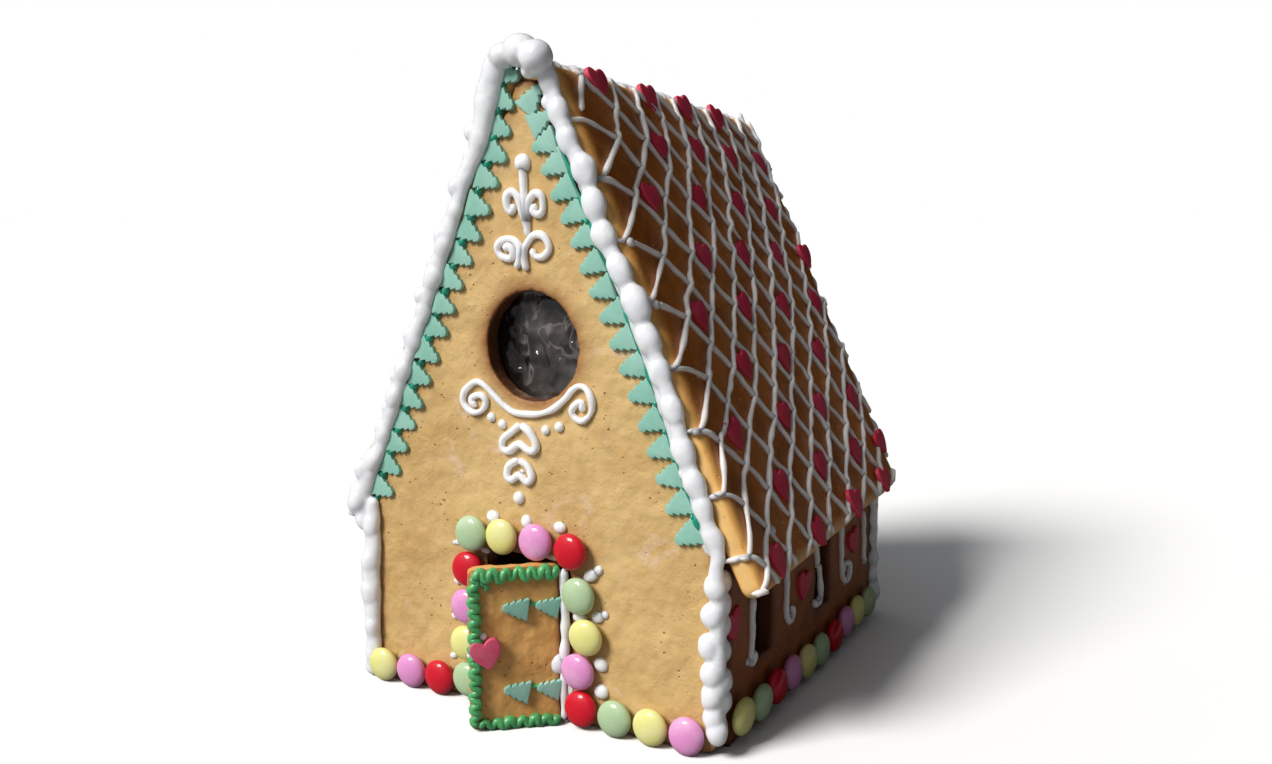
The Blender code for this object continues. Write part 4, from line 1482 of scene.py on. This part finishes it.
class Forest:
    """The firs of sugar paste along both gables' slopes, and on the door."""

    # a slope's trees: the height of the lowest, the rise between two at first and what it loses with each
    # one, and how far inside the gable's edge the tips are
    RIGHT_ROW, LEFT_ROW, BACK_ROW = (80.0, 10.2, 0.06, 11.0), (81.0, 9.65, 0.0, 9.4), (78.0, 9.2, 0.0, 11.0)
    COUNT, BACK_COUNT = 18, 17
    LOWER_IN = (140.0, 0.075)  # the height under which the right row's tips lie further in, and how fast
    UPPER_OUT = (215.0, 0.25)  # the height over which the left row's tips lie further out, and how fast
    STRAY = 0.4  # how far a tip's height may stray
    LEAN = 24.2  # how many degrees a tree rises from its base at the rope to its tip
    MIDDLE, BASE = 5.3, 10.8  # how far behind its tip a tree's middle and the foot of its base are
    TURN, SIZES = (-6, 6), (0.96, 1.04)
    SUNK = -0.25
    # the topmost trees of the right row point outwards
    OUTWARDS = 15  # how many don't
    OUTWARDS_TURN, OUTWARDS_MORE, OUTWARDS_SHIFT = 180.0, 24.0, 2.4
    # the green threads through the right row's bases: which trees they join and their radii
    THREADS = ((slice(0, 9), 0.95), (slice(9, 16), 0.7))
    # the green blobs between the trees on the right and on the left: how many trees, how far inside the
    # bases, and their smallest and largest radii
    BLOBS = {True: (15, 0.8, (1.0, 1.4)), False: (18, 3.2, (1.5, 2.0))}
    BLOB_HEIGHT, BLOB_STRETCH, BLOB_TURN = 1.9, 1.3, 65.0
    # the blobs at the left row's ends: place, radius, height, stretch and turn
    LOOSE = (((-78.5, 78.5), 1.3, 1.2, 1.9, 65.0), ((-5.0, 250.0), 1.3, 2.2, 1.3, 80.0))
    # the trees on the door: the pairs' heights, and each tree's place and size
    DOOR_HEIGHTS = (47.6, 14.8)
    DOOR_TREES = ((-4.9, 0.86), (-17.0, 0.93))
    DOOR_TURN, DOOR_STRAY, DOOR_SUNK, DOOR_SHAPE = 169.0, (-4, 4), -0.2, (0.93, 0.9)
    DOOR_THREAD = ((-0.6, 0.2), (-8.0, 1.2), (-14.0, 1.2))  # under a pair

    def __init__(self, house: House, sides: Sides) -> None:
        """Keep what the trees are laid on."""
        self.house = house
        self.sides = sides
        self.random = random.Random(Seed.TREES)

    def tips(self, back: bool, right: bool) -> list[Point2]:
        """Return where a slope's trees point to: distance from the middle and height.

        Args:
            back: whether it is the back gable.
            right: whether the slope is on the viewer's right.
        """
        low, rise, less, inside = self.BACK_ROW if back else self.RIGHT_ROW if right else self.LEFT_ROW
        points = []
        for index in range(self.BACK_COUNT if back else self.COUNT):
            z = low + rise * index - less * index * index
            inward = inside
            if right and not back:
                inward += max(0.0, self.LOWER_IN[0] - z) * self.LOWER_IN[1]
            elif not back:
                inward -= max(0.0, z - self.UPPER_OUT[0]) * self.UPPER_OUT[1]
            reach = self.house.edge(back, z) - inward
            points.append((reach, z + self.random.uniform(-self.STRAY, self.STRAY)))
        return points

    def border(self, trees: Cutter, glue: Piping, back: bool, side: int) -> None:
        """Lay the row of trees inside one slope, their bases to the rope, glued with green icing.

        Args:
            trees: the cutter for trees.
            glue: where the green icing goes.
            back: whether it is the back gable.
            side: 1 for the slope on the right, -1 on the left, in the frame's axes.
        """
        face = self.sides.gable(back)
        seen = -side if back else side
        right = seen > 0
        inward = 180.0 + self.LEAN if right else -self.LEAN
        axis = Vector((math.cos(math.radians(inward)), math.sin(math.radians(inward))))
        bases = []
        for index, (reach, z) in enumerate(self.tips(back, right)):
            tip = Vector((seen * reach, z))
            middle = tip - axis * self.MIDDLE
            turn = inward + self.random.uniform(*self.TURN)
            if right and not back and index > self.OUTWARDS:
                turn += self.OUTWARDS_TURN + (index - self.OUTWARDS - 1) * self.OUTWARDS_MORE
                middle.x += self.OUTWARDS_SHIFT
            size = self.random.uniform(*self.SIZES)
            spot = face.lay(middle.x, middle.y)
            trees.lay(spot.matrix(turn - 90.0, self.SUNK) @ scale_matrix(size, size, 1.0))
            bases.append(tip - axis * self.BASE)
        if right and not back:
            for part, radius in self.THREADS:
                path = face.path([tuple(base) for base in bases[part]], step=1.2, lift=0.8)
                glue.thread(path, radius, swell=0.5, end=0.7)
        count, inside, sizes = self.BLOBS[right]
        for below, above in zip(bases, bases[1:count]):
            blob = (below + above) / 2 + axis * inside
            glue.dot(face.lay(blob.x, blob.y), self.random.uniform(*sizes), self.BLOB_HEIGHT,
                     self.BLOB_STRETCH, -seen * self.BLOB_TURN)
        if not right and not back:
            for place, radius, height, stretch, turn in self.LOOSE:
                glue.dot(face.lay(*place), radius, height, stretch, turn)

    def on_door(self, trees: Cutter, glue: Piping) -> None:
        """Lay the two pairs of trees on the door, each pair on a thread of green icing."""
        face = self.sides.door()
        narrow, thin = self.DOOR_SHAPE
        for z in self.DOOR_HEIGHTS:
            for u, size in self.DOOR_TREES:
                turn = self.DOOR_TURN + self.random.uniform(*self.DOOR_STRAY)
                spot = face.lay(u, z).matrix(turn - 90.0, self.DOOR_SUNK)
                trees.lay(spot @ scale_matrix(size * narrow, size, thin))
            path = [(u, z + above) for u, above in self.DOOR_THREAD]
            glue.thread(face.path(path, step=1.0, lift=0.5), radius=0.8)

    def plant(self, kitchen: Kitchen) -> None:
        """Lay all the trees and their icing."""
        trees = Cutter(TREE_OUTLINE, thickness=2.0, rounding=0.35)
        glue = Piping(Seed.GLUE)
        for back in END:
            for side in SIDE:
                self.border(trees, glue, back, side)
        kitchen.serve("green-glue", glue.mesh("glue"), Finish.TEAL)
        grass = Piping(Seed.GRASS)
        self.on_door(trees, grass)
        DoorTrim(self.sides.door()).border(grass)
        kitchen.serve("door-piping", grass.mesh("grass"), Finish.GRASS)
        kitchen.serve("sugar-trees", trees.mesh("trees"), Finish.TREE)


class DoorTrim:
    """The zigzag of green icing round the door, and the white icing at its hinge."""

    # the border's runs along the top, the free edge and the bottom: start, end, swing and pitch
    RUNS = (
        ((-1.0, 61.2), (-32.5, 61.2), 1.9, 5.0),
        ((-32.2, 60.7), (-32.8, 2.2), 1.35, 4.6),
        ((-31.6, 2.4), (-1.0, 2.4), 1.2, 4.8),
    )
    SWINGS, SHIFTS = (0.75, 1.15), (-0.12, 0.12)  # how much its swings and its steps vary, as shares
    LOOP = ((-29.4, 56.6), 1.8, (200.0, -40.0))  # the loop in its corner: middle, radius, directions
    SEAM = ((1.4, 62.0), (1.6, 50.0), (1.9, 41.0), (1.7, 34.0), (1.3, 27.0), (1.1, 18.0), (1.0, 7.0),
            (0.9, 1.5))
    # the white drops: place, radius, height, stretch and turn
    DROPS = (((-0.5, 24.0), 3.4, 2.2, 1.2, 80.0), ((-29.5, 37.5), 1.6, 1.2, 1.0, 0.0),
             ((-34.0, 30.0), 1.5, 1.2, 1.0, 0.0))

    def __init__(self, face: Face) -> None:
        """Keep the door's face."""
        self.face = face
        self.random = random.Random(Seed.DOOR)

    def zigzag(self, start: Point2, end: Point2, swing: float, pitch: float) -> list[Point2]:
        """Return the corners of a zigzag between two points.

        Args:
            start: its start.
            end: its end.
            swing: how far it swings to each side.
            pitch: the length of one swing to and fro.

        Returns:
            The corners.
        """
        along = Vector((end[0] - start[0], end[1] - start[1]))
        side = Vector((-along.y, along.x)).normalized()
        count = max(2, round(along.length / pitch * 2))
        points = []
        for index in range(count + 1):
            swung = side * (swing if index % 2 else -swing) * self.random.uniform(*self.SWINGS)
            at = Vector(start) + along * ((index + self.random.uniform(*self.SHIFTS)) / count) + swung
            points.append((at.x, at.y))
        return points

    def border(self, piping: Piping) -> None:
        """Pipe the zigzag along the top, the free edge and the bottom."""
        for start, end, swing, pitch in self.RUNS:
            path = self.face.path(self.zigzag(start, end, swing, pitch), step=0.8, lift=1.0)
            piping.thread(path, radius=1.72, swell=0.2)
        piping.thread(self.face.path(arc(*self.LOOP), step=0.8, lift=0.9), radius=1.3, swell=0.2)

    def seam(self, piping: Piping) -> None:
        """Pipe the white icing that holds the door at its hinge."""
        piping.thread(self.face.path(self.SEAM, step=1.5, lift=0.6), radius=1.6, swell=0.35)
        for place, radius, height, stretch, turn in self.DROPS:
            piping.dot(self.face.lay(*place), radius, height, stretch, turn)


# ---------------- fine white piping


class FrontPiping:
    """The scrolls, hearts, dots and dabs of white icing on a gable."""

    SCROLLS = (
        ((-0.8, 214.5), (-0.6, 209.0), (-0.2, 203.0), (0.2, 197.5), (0.5, 192.5)),
        ((-6.4, 199.4), (-5.1, 198.0), (-6.5, 196.6), (-8.0, 198.4), (-8.1, 202.6), (-5.4, 204.4),
         (-2.8, 201.9), (-1.2, 197.0), (0.5, 192.7), (0.8, 187.8)),
        ((4.9, 199.8), (4.0, 197.0), (6.6, 195.9), (8.3, 198.4), (7.6, 202.6), (4.6, 203.6),
         (1.9, 200.5), (1.0, 196.3), (0.5, 192.7)),
        ((-9.7, 182.3), (-7.6, 184.1), (-5.5, 182.0), (-6.9, 179.4), (-11.3, 180.1), (-13.0, 183.3),
         (-10.3, 186.2), (-5.8, 186.6), (-2.8, 184.5), (-2.0, 181.3), (-4.3, 175.6)),
        ((2.9, 183.2), (4.5, 180.4), (8.0, 180.4), (10.6, 183.7), (8.1, 187.9), (3.8, 188.2), (0.7, 184.9),
         (-0.7, 181.4), (0.1, 174.9)),
    )
    SWAG = (
        (-24.4, 121.8), (-26.7, 122.8), (-26.6, 124.9), (-22.8, 126.1), (-20.4, 124.4), (-21.1, 121.0),
        (-24.5, 119.0), (-28.2, 119.6), (-31.1, 122.8), (-30.3, 127.1), (-26.5, 130.4), (-23.6, 131.3),
        (-20.0, 129.7), (-15.5, 125.9), (-11.0, 122.5), (-6.5, 120.5), (-0.2, 120.3), (5.1, 120.9),
        (11.2, 123.2), (16.5, 127.3), (20.0, 131.1), (23.4, 132.8), (26.7, 131.3), (28.7, 127.2),
        (27.9, 122.8), (24.5, 119.8), (21.1, 120.4), (19.4, 122.8), (21.2, 125.5), (24.1, 126.8),
        (24.3, 123.2),
    )
    HEARTS = (
        ((-3.9, 116.0), (0.1, 113.8), (3.1, 109.6), (3.0, 107.0), (0.3, 106.1), (-4.5, 108.3), (-9.6, 105.2),
         (-12.5, 105.9), (-12.2, 109.7), (-7.6, 113.1), (-3.9, 116.0)),
        ((-5.1, 102.1), (-1.1, 99.9), (1.0, 96.0), (-1.3, 93.6), (-4.8, 96.1), (-8.5, 93.8),
         (-10.7, 95.4), (-9.7, 99.3), (-5.1, 102.1)),
    )
    DOTS = ((-0.8, 214.8, 3.5), (-18.0, 117.6, 1.9), (-12.7, 115.3, 1.9), (7.4, 114.7, 1.9),
            (13.6, 116.5, 2.0), (-5.5, 86.9, 2.5), (-4.0, 97.0, 1.3))
    # the icing that shows round the candies of the doorway: place, radius, stretch and turn
    DABS = (
        (-18.1, 77.8, 2.6, 1.2, 0.0), (-2.1, 77.8, 2.5, 1.1, 90.0), (13.5, 77.6, 2.3, 1.2, 0.0),
        (27.0, 60.5, 2.4, 1.5, 30.0), (30.0, 62.8, 1.8, 1.3, 40.0), (30.0, 44.6, 2.3, 1.3, 20.0),
        (33.0, 46.0, 1.6, 1.0, 0.0), (21.9, 43.2, 2.2, 1.4, 0.0), (31.2, 26.2, 2.8, 1.1, -30.0),
        (31.4, 15.5, 2.9, 1.1, 0.0), (-36.6, 64.8, 1.1, 2.6, 8.0), (-36.2, 49.3, 1.8, 1.3, 40.0),
        (-38.2, 34.2, 1.6, 1.4, 30.0), (-40.0, 16.6, 1.4, 1.5, 20.0), (10.0, 65.0, 1.1, 3.2, 0.0),
        (-23.0, 63.2, 1.2, 2.0, -10.0),
    )

    THREAD, SWAG_THREAD = 1.5, 1.3  # the radii of the scrolls and hearts, and of the swag
    DOT_HEIGHT, HIGHEST = 0.8, 2.4  # a dot's height as a share of its radius, and the most that it is
    DAB_HEIGHT = 0.7

    def __init__(self, face: Face) -> None:
        """Keep the gable's face."""
        self.face = face

    def scroll(self, piping: Piping, plain: bool) -> None:
        """Pipe the scrolls.

        Args:
            piping: where the icing goes.
            plain: whether the gable has no doorway, and so no candies round it.
        """
        for shapes, radius in ((self.SCROLLS, self.THREAD), ((self.SWAG,), self.SWAG_THREAD),
                               (self.HEARTS, self.THREAD)):
            for points in shapes:
                piping.thread(self.face.path(points, step=0.9, lift=0.8), radius, swell=0.15)
        for x, z, radius in self.DOTS:
            piping.dot(self.face.lay(x, z), radius, min(radius * self.DOT_HEIGHT, self.HIGHEST))
        if not plain:
            for x, z, radius, stretch, turn in self.DABS:
                piping.dot(self.face.lay(x, z), radius, radius * self.DAB_HEIGHT, stretch, turn)


class WallPiping:
    """The drips of icing and the sugar hearts on a long wall."""

    HEARTS = ((10.0, 47.0), (78.0, 42.0), (140.0, 45.0))
    DRIPS = (
        ((26.0, 53.0), (26.4, 42.0), (26.0, 33.0), (25.0, 28.0), (27.0, 26.5), (28.5, 29.0), (26.6, 31.0)),
        ((60.0, 54.0), (60.4, 44.0), (60.6, 34.0), (63.5, 31.5), (67.0, 34.0), (65.5, 37.0)),
        ((91.0, 58.0), (94.0, 48.0), (96.5, 38.0), (97.0, 30.5), (93.0, 29.0), (90.5, 31.5)),
        ((123.5, 57.0), (124.0, 44.0), (126.0, 33.0), (130.5, 28.5), (135.5, 31.0), (134.5, 36.0),
         (129.0, 37.0), (126.5, 33.5)),
        ((155.0, 56.0), (155.6, 44.0), (155.0, 34.0), (157.5, 31.0)),
    )
    DROP = 3  # which of a drip's points its drop lies on
    TURN, SUNK = (-15, 15), -0.3  # of the hearts

    def __init__(self, face: Face, seed: int) -> None:
        """Keep the wall's face."""
        self.face = face
        self.random = random.Random(seed)

    def drip(self, piping: Piping) -> None:
        """Pipe the drips."""
        for points in self.DRIPS:
            piping.thread(self.face.path(points, step=1.0, lift=0.8), radius=1.25, swell=0.2)
            piping.dot(self.face.lay(*points[self.DROP]), radius=1.9, height=1.3)

    def hearts(self, cutter: Cutter) -> None:
        """Lay the hearts."""
        for u, v in self.HEARTS:
            cutter.lay(self.face.lay(u, v).matrix(self.random.uniform(*self.TURN), self.SUNK))


class Trimming:
    """Everything piped or laid on the house besides the thick icing and the trees."""

    DOOR_HEART = (-28.2, 30.8)
    DOOR_HEART_TURN = (12.0, 1.6)  # how many degrees it is turned by, and how far it stands off

    def __init__(self, sides: Sides) -> None:
        """Keep what it is laid on."""
        self.sides = sides

    def trim(self, kitchen: Kitchen) -> None:
        """Make the lattices, the hearts and the fine piping."""
        hearts = Cutter(heart_outline(12.6, 12.4), thickness=1.9, rounding=0.55)
        for side, name in SIDE.items():
            roofing = Roofing(self.sides.roof(side), self.sides.house.eaves(side), Seed.ROOFS + side)
            roofing.lattice(kitchen, name + "-lattice")
            roofing.hearts(hearts)
            piping = Piping(Seed.DRIPS + side)
            wall = WallPiping(self.sides.wall(side), Seed.WALLS + side)
            wall.drip(piping)
            wall.hearts(hearts)
            kitchen.serve(name + "-wall-drips", piping.mesh(name), Finish.THREAD)
        kitchen.serve("roof-hearts", hearts.mesh("hearts"), Finish.ROOF_HEART)
        door = self.sides.door()
        heart = Cutter(heart_outline(11.6, 12.0), thickness=2.1, rounding=0.6)
        heart.lay(door.lay(*self.DOOR_HEART).matrix(*self.DOOR_HEART_TURN))
        kitchen.serve("door-heart", heart.mesh("heart"), Finish.HEART)
        for back, end in END.items():
            piping = Piping(Seed.GABLES + back)
            FrontPiping(self.sides.gable(back)).scroll(piping, back)
            if not back:
                DoorTrim(door).seam(piping)
            kitchen.serve(end + "-piping", piping.mesh(end), Finish.THREAD)


# ---------------- candies and film


class Candies:
    """The sugar-coated lentils, one piece for each colour."""

    COLOURS = {"green": Finish.GREEN, "yellow": Finish.YELLOW, "pink": Finish.PINK, "red": Finish.RED}
    SEGMENTS, RINGS = 32, 20
    FULLER = 0.10  # how much fuller than an ellipsoid a lentil is
    TILT = (-3, 3)
    SHRINK = (0.97, 1.0)
    # the row behind the back gable: how many, the first one's place, the distance between two of them,
    # and half of their size
    ROW, ROW_PITCH = 10, 15.6
    ROW_X, ROW_OUT, ROW_Z = -70.2, 3.6, 7.4
    ROW_HALF = Vector((7.3, 3.3, 7.3))

    def __init__(self, house: House) -> None:
        """Find the lentils of each colour in the frame."""
        self.house = house
        self.random = random.Random(Seed.CANDIES)
        self.nodes: dict[str, list[str]] = {colour: [] for colour in self.COLOURS}
        for name, obj in sorted(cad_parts.items()):
            if "_candy_" in name:
                self.nodes[obj.active_material.name.split(".")[0]].append(name)

    def lentil(self, bm: bmesh.types.BMesh, centre: Vector, half: Vector) -> None:
        """Add one lentil.

        Args:
            bm: where it goes.
            centre: its middle.
            half: half of its size along each axis; the smallest is its thickness.
        """
        thin = min(range(3), key=lambda axis: half[axis])
        radius = max(half)
        made = bmesh.ops.create_uvsphere(bm, u_segments=self.SEGMENTS, v_segments=self.RINGS,
                                         radius=1.0)["verts"]
        for vert in made:
            vert.co.z *= 1.0 + self.FULLER * (1.0 - abs(vert.co.z)) * abs(vert.co.z)
        tilt = Matrix.Identity(4)
        for axis in "XY":
            tilt @= Matrix.Rotation(math.radians(self.random.uniform(*self.TILT)), 4, axis)
        stand = Matrix.Rotation(math.pi / 2, 4, "XYZ"[1 - thin]) if thin != 2 else Matrix.Identity(4)
        wide, high = (radius * self.random.uniform(*self.SHRINK) for _ in range(2))
        matrix = Matrix.Translation(centre) @ stand @ tilt @ scale_matrix(wide, high, half[thin])
        bmesh.ops.transform(bm, matrix=matrix, verts=made)

    def pour(self, kitchen: Kitchen) -> None:
        """Make every candy, with the row behind the back gable."""
        y = self.house.back + self.ROW_OUT
        for first, (colour, finish) in enumerate(self.COLOURS.items()):
            bm = bmesh.new()
            for node in self.nodes[colour]:
                low, high = self.house.low(node), self.house.high(node)
                self.lentil(bm, (low + high) / 2, (high - low) / 2)
            for index in range(first, self.ROW, len(self.COLOURS)):
                centre = Vector((self.ROW_X + self.ROW_PITCH * index, y, self.ROW_Z))
                self.lentil(bm, centre, self.ROW_HALF)
            mesh = to_mesh(bm, colour)
            mesh.shade_smooth()
            kitchen.serve(colour + "-candies", mesh, finish, self.nodes[colour])


class Panes:
    """The crinkled film behind the windows, all as one piece."""

    NODES = ("round_pane", "right_pane_1", "right_pane_2", "left_pane_1", "left_pane_2")
    GRID = 54  # a pane's divisions each way
    FOLD, APART = 13.0, 3.7  # the width of the folds, and how far apart the panes' noise lies
    BEND = 0.6  # how much the folds are bent
    FINE, FINE_SHARE = 2.3, 0.4  # how much narrower the finer folds are, and how deep
    OUT, DEEP = 0.4, 2.0  # how far the film reaches out and in
    THICKNESS = 0.08
    CLEAR, BLEND = 9.0, 3.0  # the round window's left part gets no pale streaks and little shine, so it is darker: where that starts, and how softly
    DEPTH = 20.0  # the round window's film lies within this distance of the front

    def __init__(self, house: House) -> None:
        """Keep the house's measures."""
        self.house = house

    def fold(self, across: float, up: float, number: int) -> float:
        """Return how deep the film is folded at a place on a pane."""
        at = Vector((across / self.FOLD, up / self.FOLD, number * self.APART))
        wide = abs(noise.noise(at + noise.noise_vector(at) * self.BEND))
        return wide + self.FINE_SHARE * abs(noise.noise(at * self.FINE))

    def glaze(self, kitchen: Kitchen) -> None:
        """Make the film."""
        bm = bmesh.new()
        for number, node in enumerate(self.NODES):
            low, high = self.house.low(node), self.house.high(node)
            half, centre = (high - low) / 2, (low + high) / 2
            across = RIGHT if half.y < half.x else BACK
            out, wide = across.cross(UP), half.dot(across)
            made = bmesh.ops.create_grid(bm, x_segments=self.GRID, y_segments=self.GRID, size=1.0)["verts"]
            for vert in made:
                x, z = vert.co.x * wide, vert.co.y * half.z
                depth = self.OUT - self.fold(x, z, number) * self.DEEP
                vert.co = centre + across * x + UP * z + out * depth
        bmesh.ops.recalc_face_normals(bm, faces=bm.faces)
        solid = ("SOLIDIFY", {"thickness": self.THICKNESS, "offset": 0.0})
        mesh = evaluate(to_mesh(bm, "film"), (solid,))
        # the round window's left part is darker: no pale streaks and little shine there
        clear = mesh.attributes.new("clear", "FLOAT", "POINT")
        start = self.house.centre(self.NODES[0]).x - self.CLEAR
        points = read_points(mesh)[0]
        shares = np.clip((start - points[:, 0]) / self.BLEND, 0.0, 1.0)
        shares[points[:, 1] >= self.house.front + self.DEPTH] = 0.0
        clear.data.foreach_set("value", shares)
        mesh.shade_smooth()
        kitchen.serve("window-film", mesh, Finish.FILM, self.NODES)


# ---------------- studio


@dataclass(frozen=True)
class Studio:
    """The pale floor, the light and the camera.

    Attributes:
        eye: the camera's place, in millimetres.
        yaw: degrees it looks to the left of straight back.
        pitch: degrees it looks down.
        roll: degrees it leans.
        lens: its focal length on a 36 mm wide sensor.
        shift: its shift across and up, as shares of the width.
        key: the key light's strength.
        bearing: degrees the key light stands to the left of the front.
        height: degrees it stands over the horizon.
        softness: how many degrees wide it is.
        warmth: its colour.
        sky: the surroundings' colour.
        fill: the surroundings' brightness away from the window and towards it.
        window: the direction of the window.
    """

    eye: Point3 = (254.1, -429.9, 196.4)
    yaw: float = 27.45
    pitch: float = 7.72
    roll: float = 0.12
    lens: float = 32.24
    shift: Point2 = (-0.0473, -0.0112)
    key: float = 3.9
    bearing: float = 28.0
    height: float = 43.0
    softness: float = 23.0
    warmth: Colour = (1.0, 0.985, 0.96)
    sky: Colour = (0.93, 0.96, 1.0)
    fill: Point2 = (0.0, 0.37)
    window: Point3 = (-0.60, -0.70, 0.40)

    SENSOR = 36.0
    CLIP = (0.01, 50.0)
    FLOOR = 20.0  # half of the floor's width, in metres
    WHITE = (1.0, 1.0, 1.0)
    SHADE = (0.25, 0.25, 0.25)  # the floor's colour for all light but what the camera sees
    TURNED = (-0.5, 1.0)  # the cosines with the window's direction between which the fill grows

    def camera(self) -> None:
        """Set up the camera."""
        yaw, pitch, roll = (math.radians(angle) for angle in (self.yaw, self.pitch, self.roll))
        look = Vector((-math.sin(yaw) * math.cos(pitch), math.cos(yaw) * math.cos(pitch), -math.sin(pitch)))
        right = Vector((math.cos(yaw), math.sin(yaw), 0.0))
        up = right.cross(look)
        leant = right * math.cos(roll) + up * math.sin(roll)
        data = bpy.data.cameras.new("camera")
        data.lens, data.sensor_width = self.lens, self.SENSOR
        data.shift_x, data.shift_y = self.shift
        data.clip_start, data.clip_end = self.CLIP
        obj = bpy.data.objects.new("camera", data)
        upright = up * math.cos(roll) - right * math.sin(roll)
        obj.matrix_world = basis(leant, upright, -look, Vector(self.eye) * MM)
        bpy.context.scene.collection.objects.link(obj)
        bpy.context.scene.camera = obj

    def floor(self) -> None:
        """Lay the pale floor, which throws back less light than it seems to."""
        bm = bmesh.new()
        bmesh.ops.create_grid(bm, x_segments=1, y_segments=1, size=self.FLOOR)
        obj = bpy.data.objects.new("floor", to_mesh(bm, "floor"))
        material = bpy.data.materials.new("pale_floor")
        material.use_nodes = True
        nodes = Graph(material.node_tree)
        seen, met = (nodes.make("ShaderNodeBsdfDiffuse", {"Color": colour})
                     for colour in (self.WHITE, self.SHADE))
        nodes.make("ShaderNodeOutputMaterial", {"Surface": nodes.by_ray(seen, met)})
        obj.data.materials.append(material)
        bpy.context.scene.collection.objects.link(obj)

    def sun(self) -> None:
        """Add the key light, far away and soft."""
        data = bpy.data.lights.new("key", "SUN")
        data.energy, data.angle, data.color = self.key, math.radians(self.softness), self.warmth
        bearing, height = math.radians(self.bearing), math.radians(self.height)
        towards = Vector((-math.sin(bearing) * math.cos(height), -math.cos(bearing) * math.cos(height),
                          math.sin(height)))
        obj = bpy.data.objects.new("key", data)
        obj.matrix_world = towards.to_track_quat("Z", "Y").to_matrix().to_4x4()
        bpy.context.scene.collection.objects.link(obj)

    def light(self) -> None:
        """Set up the key light and the surroundings, which the camera sees as white."""
        self.sun()
        world = bpy.data.worlds.new("white_room")
        world.use_nodes = True
        nodes = Graph(world.node_tree)
        place = nodes.make("ShaderNodeTexCoord").outputs["Generated"]
        facing = nodes.make("ShaderNodeVectorMath", {0: place, 1: self.window}, operation="DOT_PRODUCT")
        levels = {"Value": facing.outputs["Value"], "From Min": self.TURNED[0], "From Max": self.TURNED[1],
                  "To Min": self.fill[0], "To Max": self.fill[1]}
        level = nodes.make("ShaderNodeMapRange", levels).outputs[0]
        seen = nodes.make("ShaderNodeBackground", {"Color": self.WHITE, "Strength": 1.0})
        met = nodes.make("ShaderNodeBackground", {"Color": self.sky, "Strength": level})
        nodes.make("ShaderNodeOutputWorld", {"Surface": nodes.by_ray(seen, met)})
        bpy.context.scene.world = world

    def build(self) -> None:
        """Set up everything."""
        bpy.context.scene.view_settings.view_transform = "Standard"
        self.floor()
        self.light()
        self.camera()


def main() -> None:
    """Make every piece, then the studio."""
    logging.basicConfig(level=logging.INFO, format="%(name)s: %(message)s")
    noise.seed_set(Seed.NOISE)
    kitchen = Kitchen()
    house = House()
    sides = Sides(house, kitchen)
    icing = ThickIcing(house)
    icing.ends(kitchen)
    icing.ridge(kitchen)
    Trimming(sides).trim(kitchen)
    Forest(house, sides).plant(kitchen)
    Candies(house).pour(kitchen)
    Panes(house).glaze(kitchen)
    Studio().build()
    log.info("%d pieces", kitchen.count)


if __name__ == "__main__":
    main()
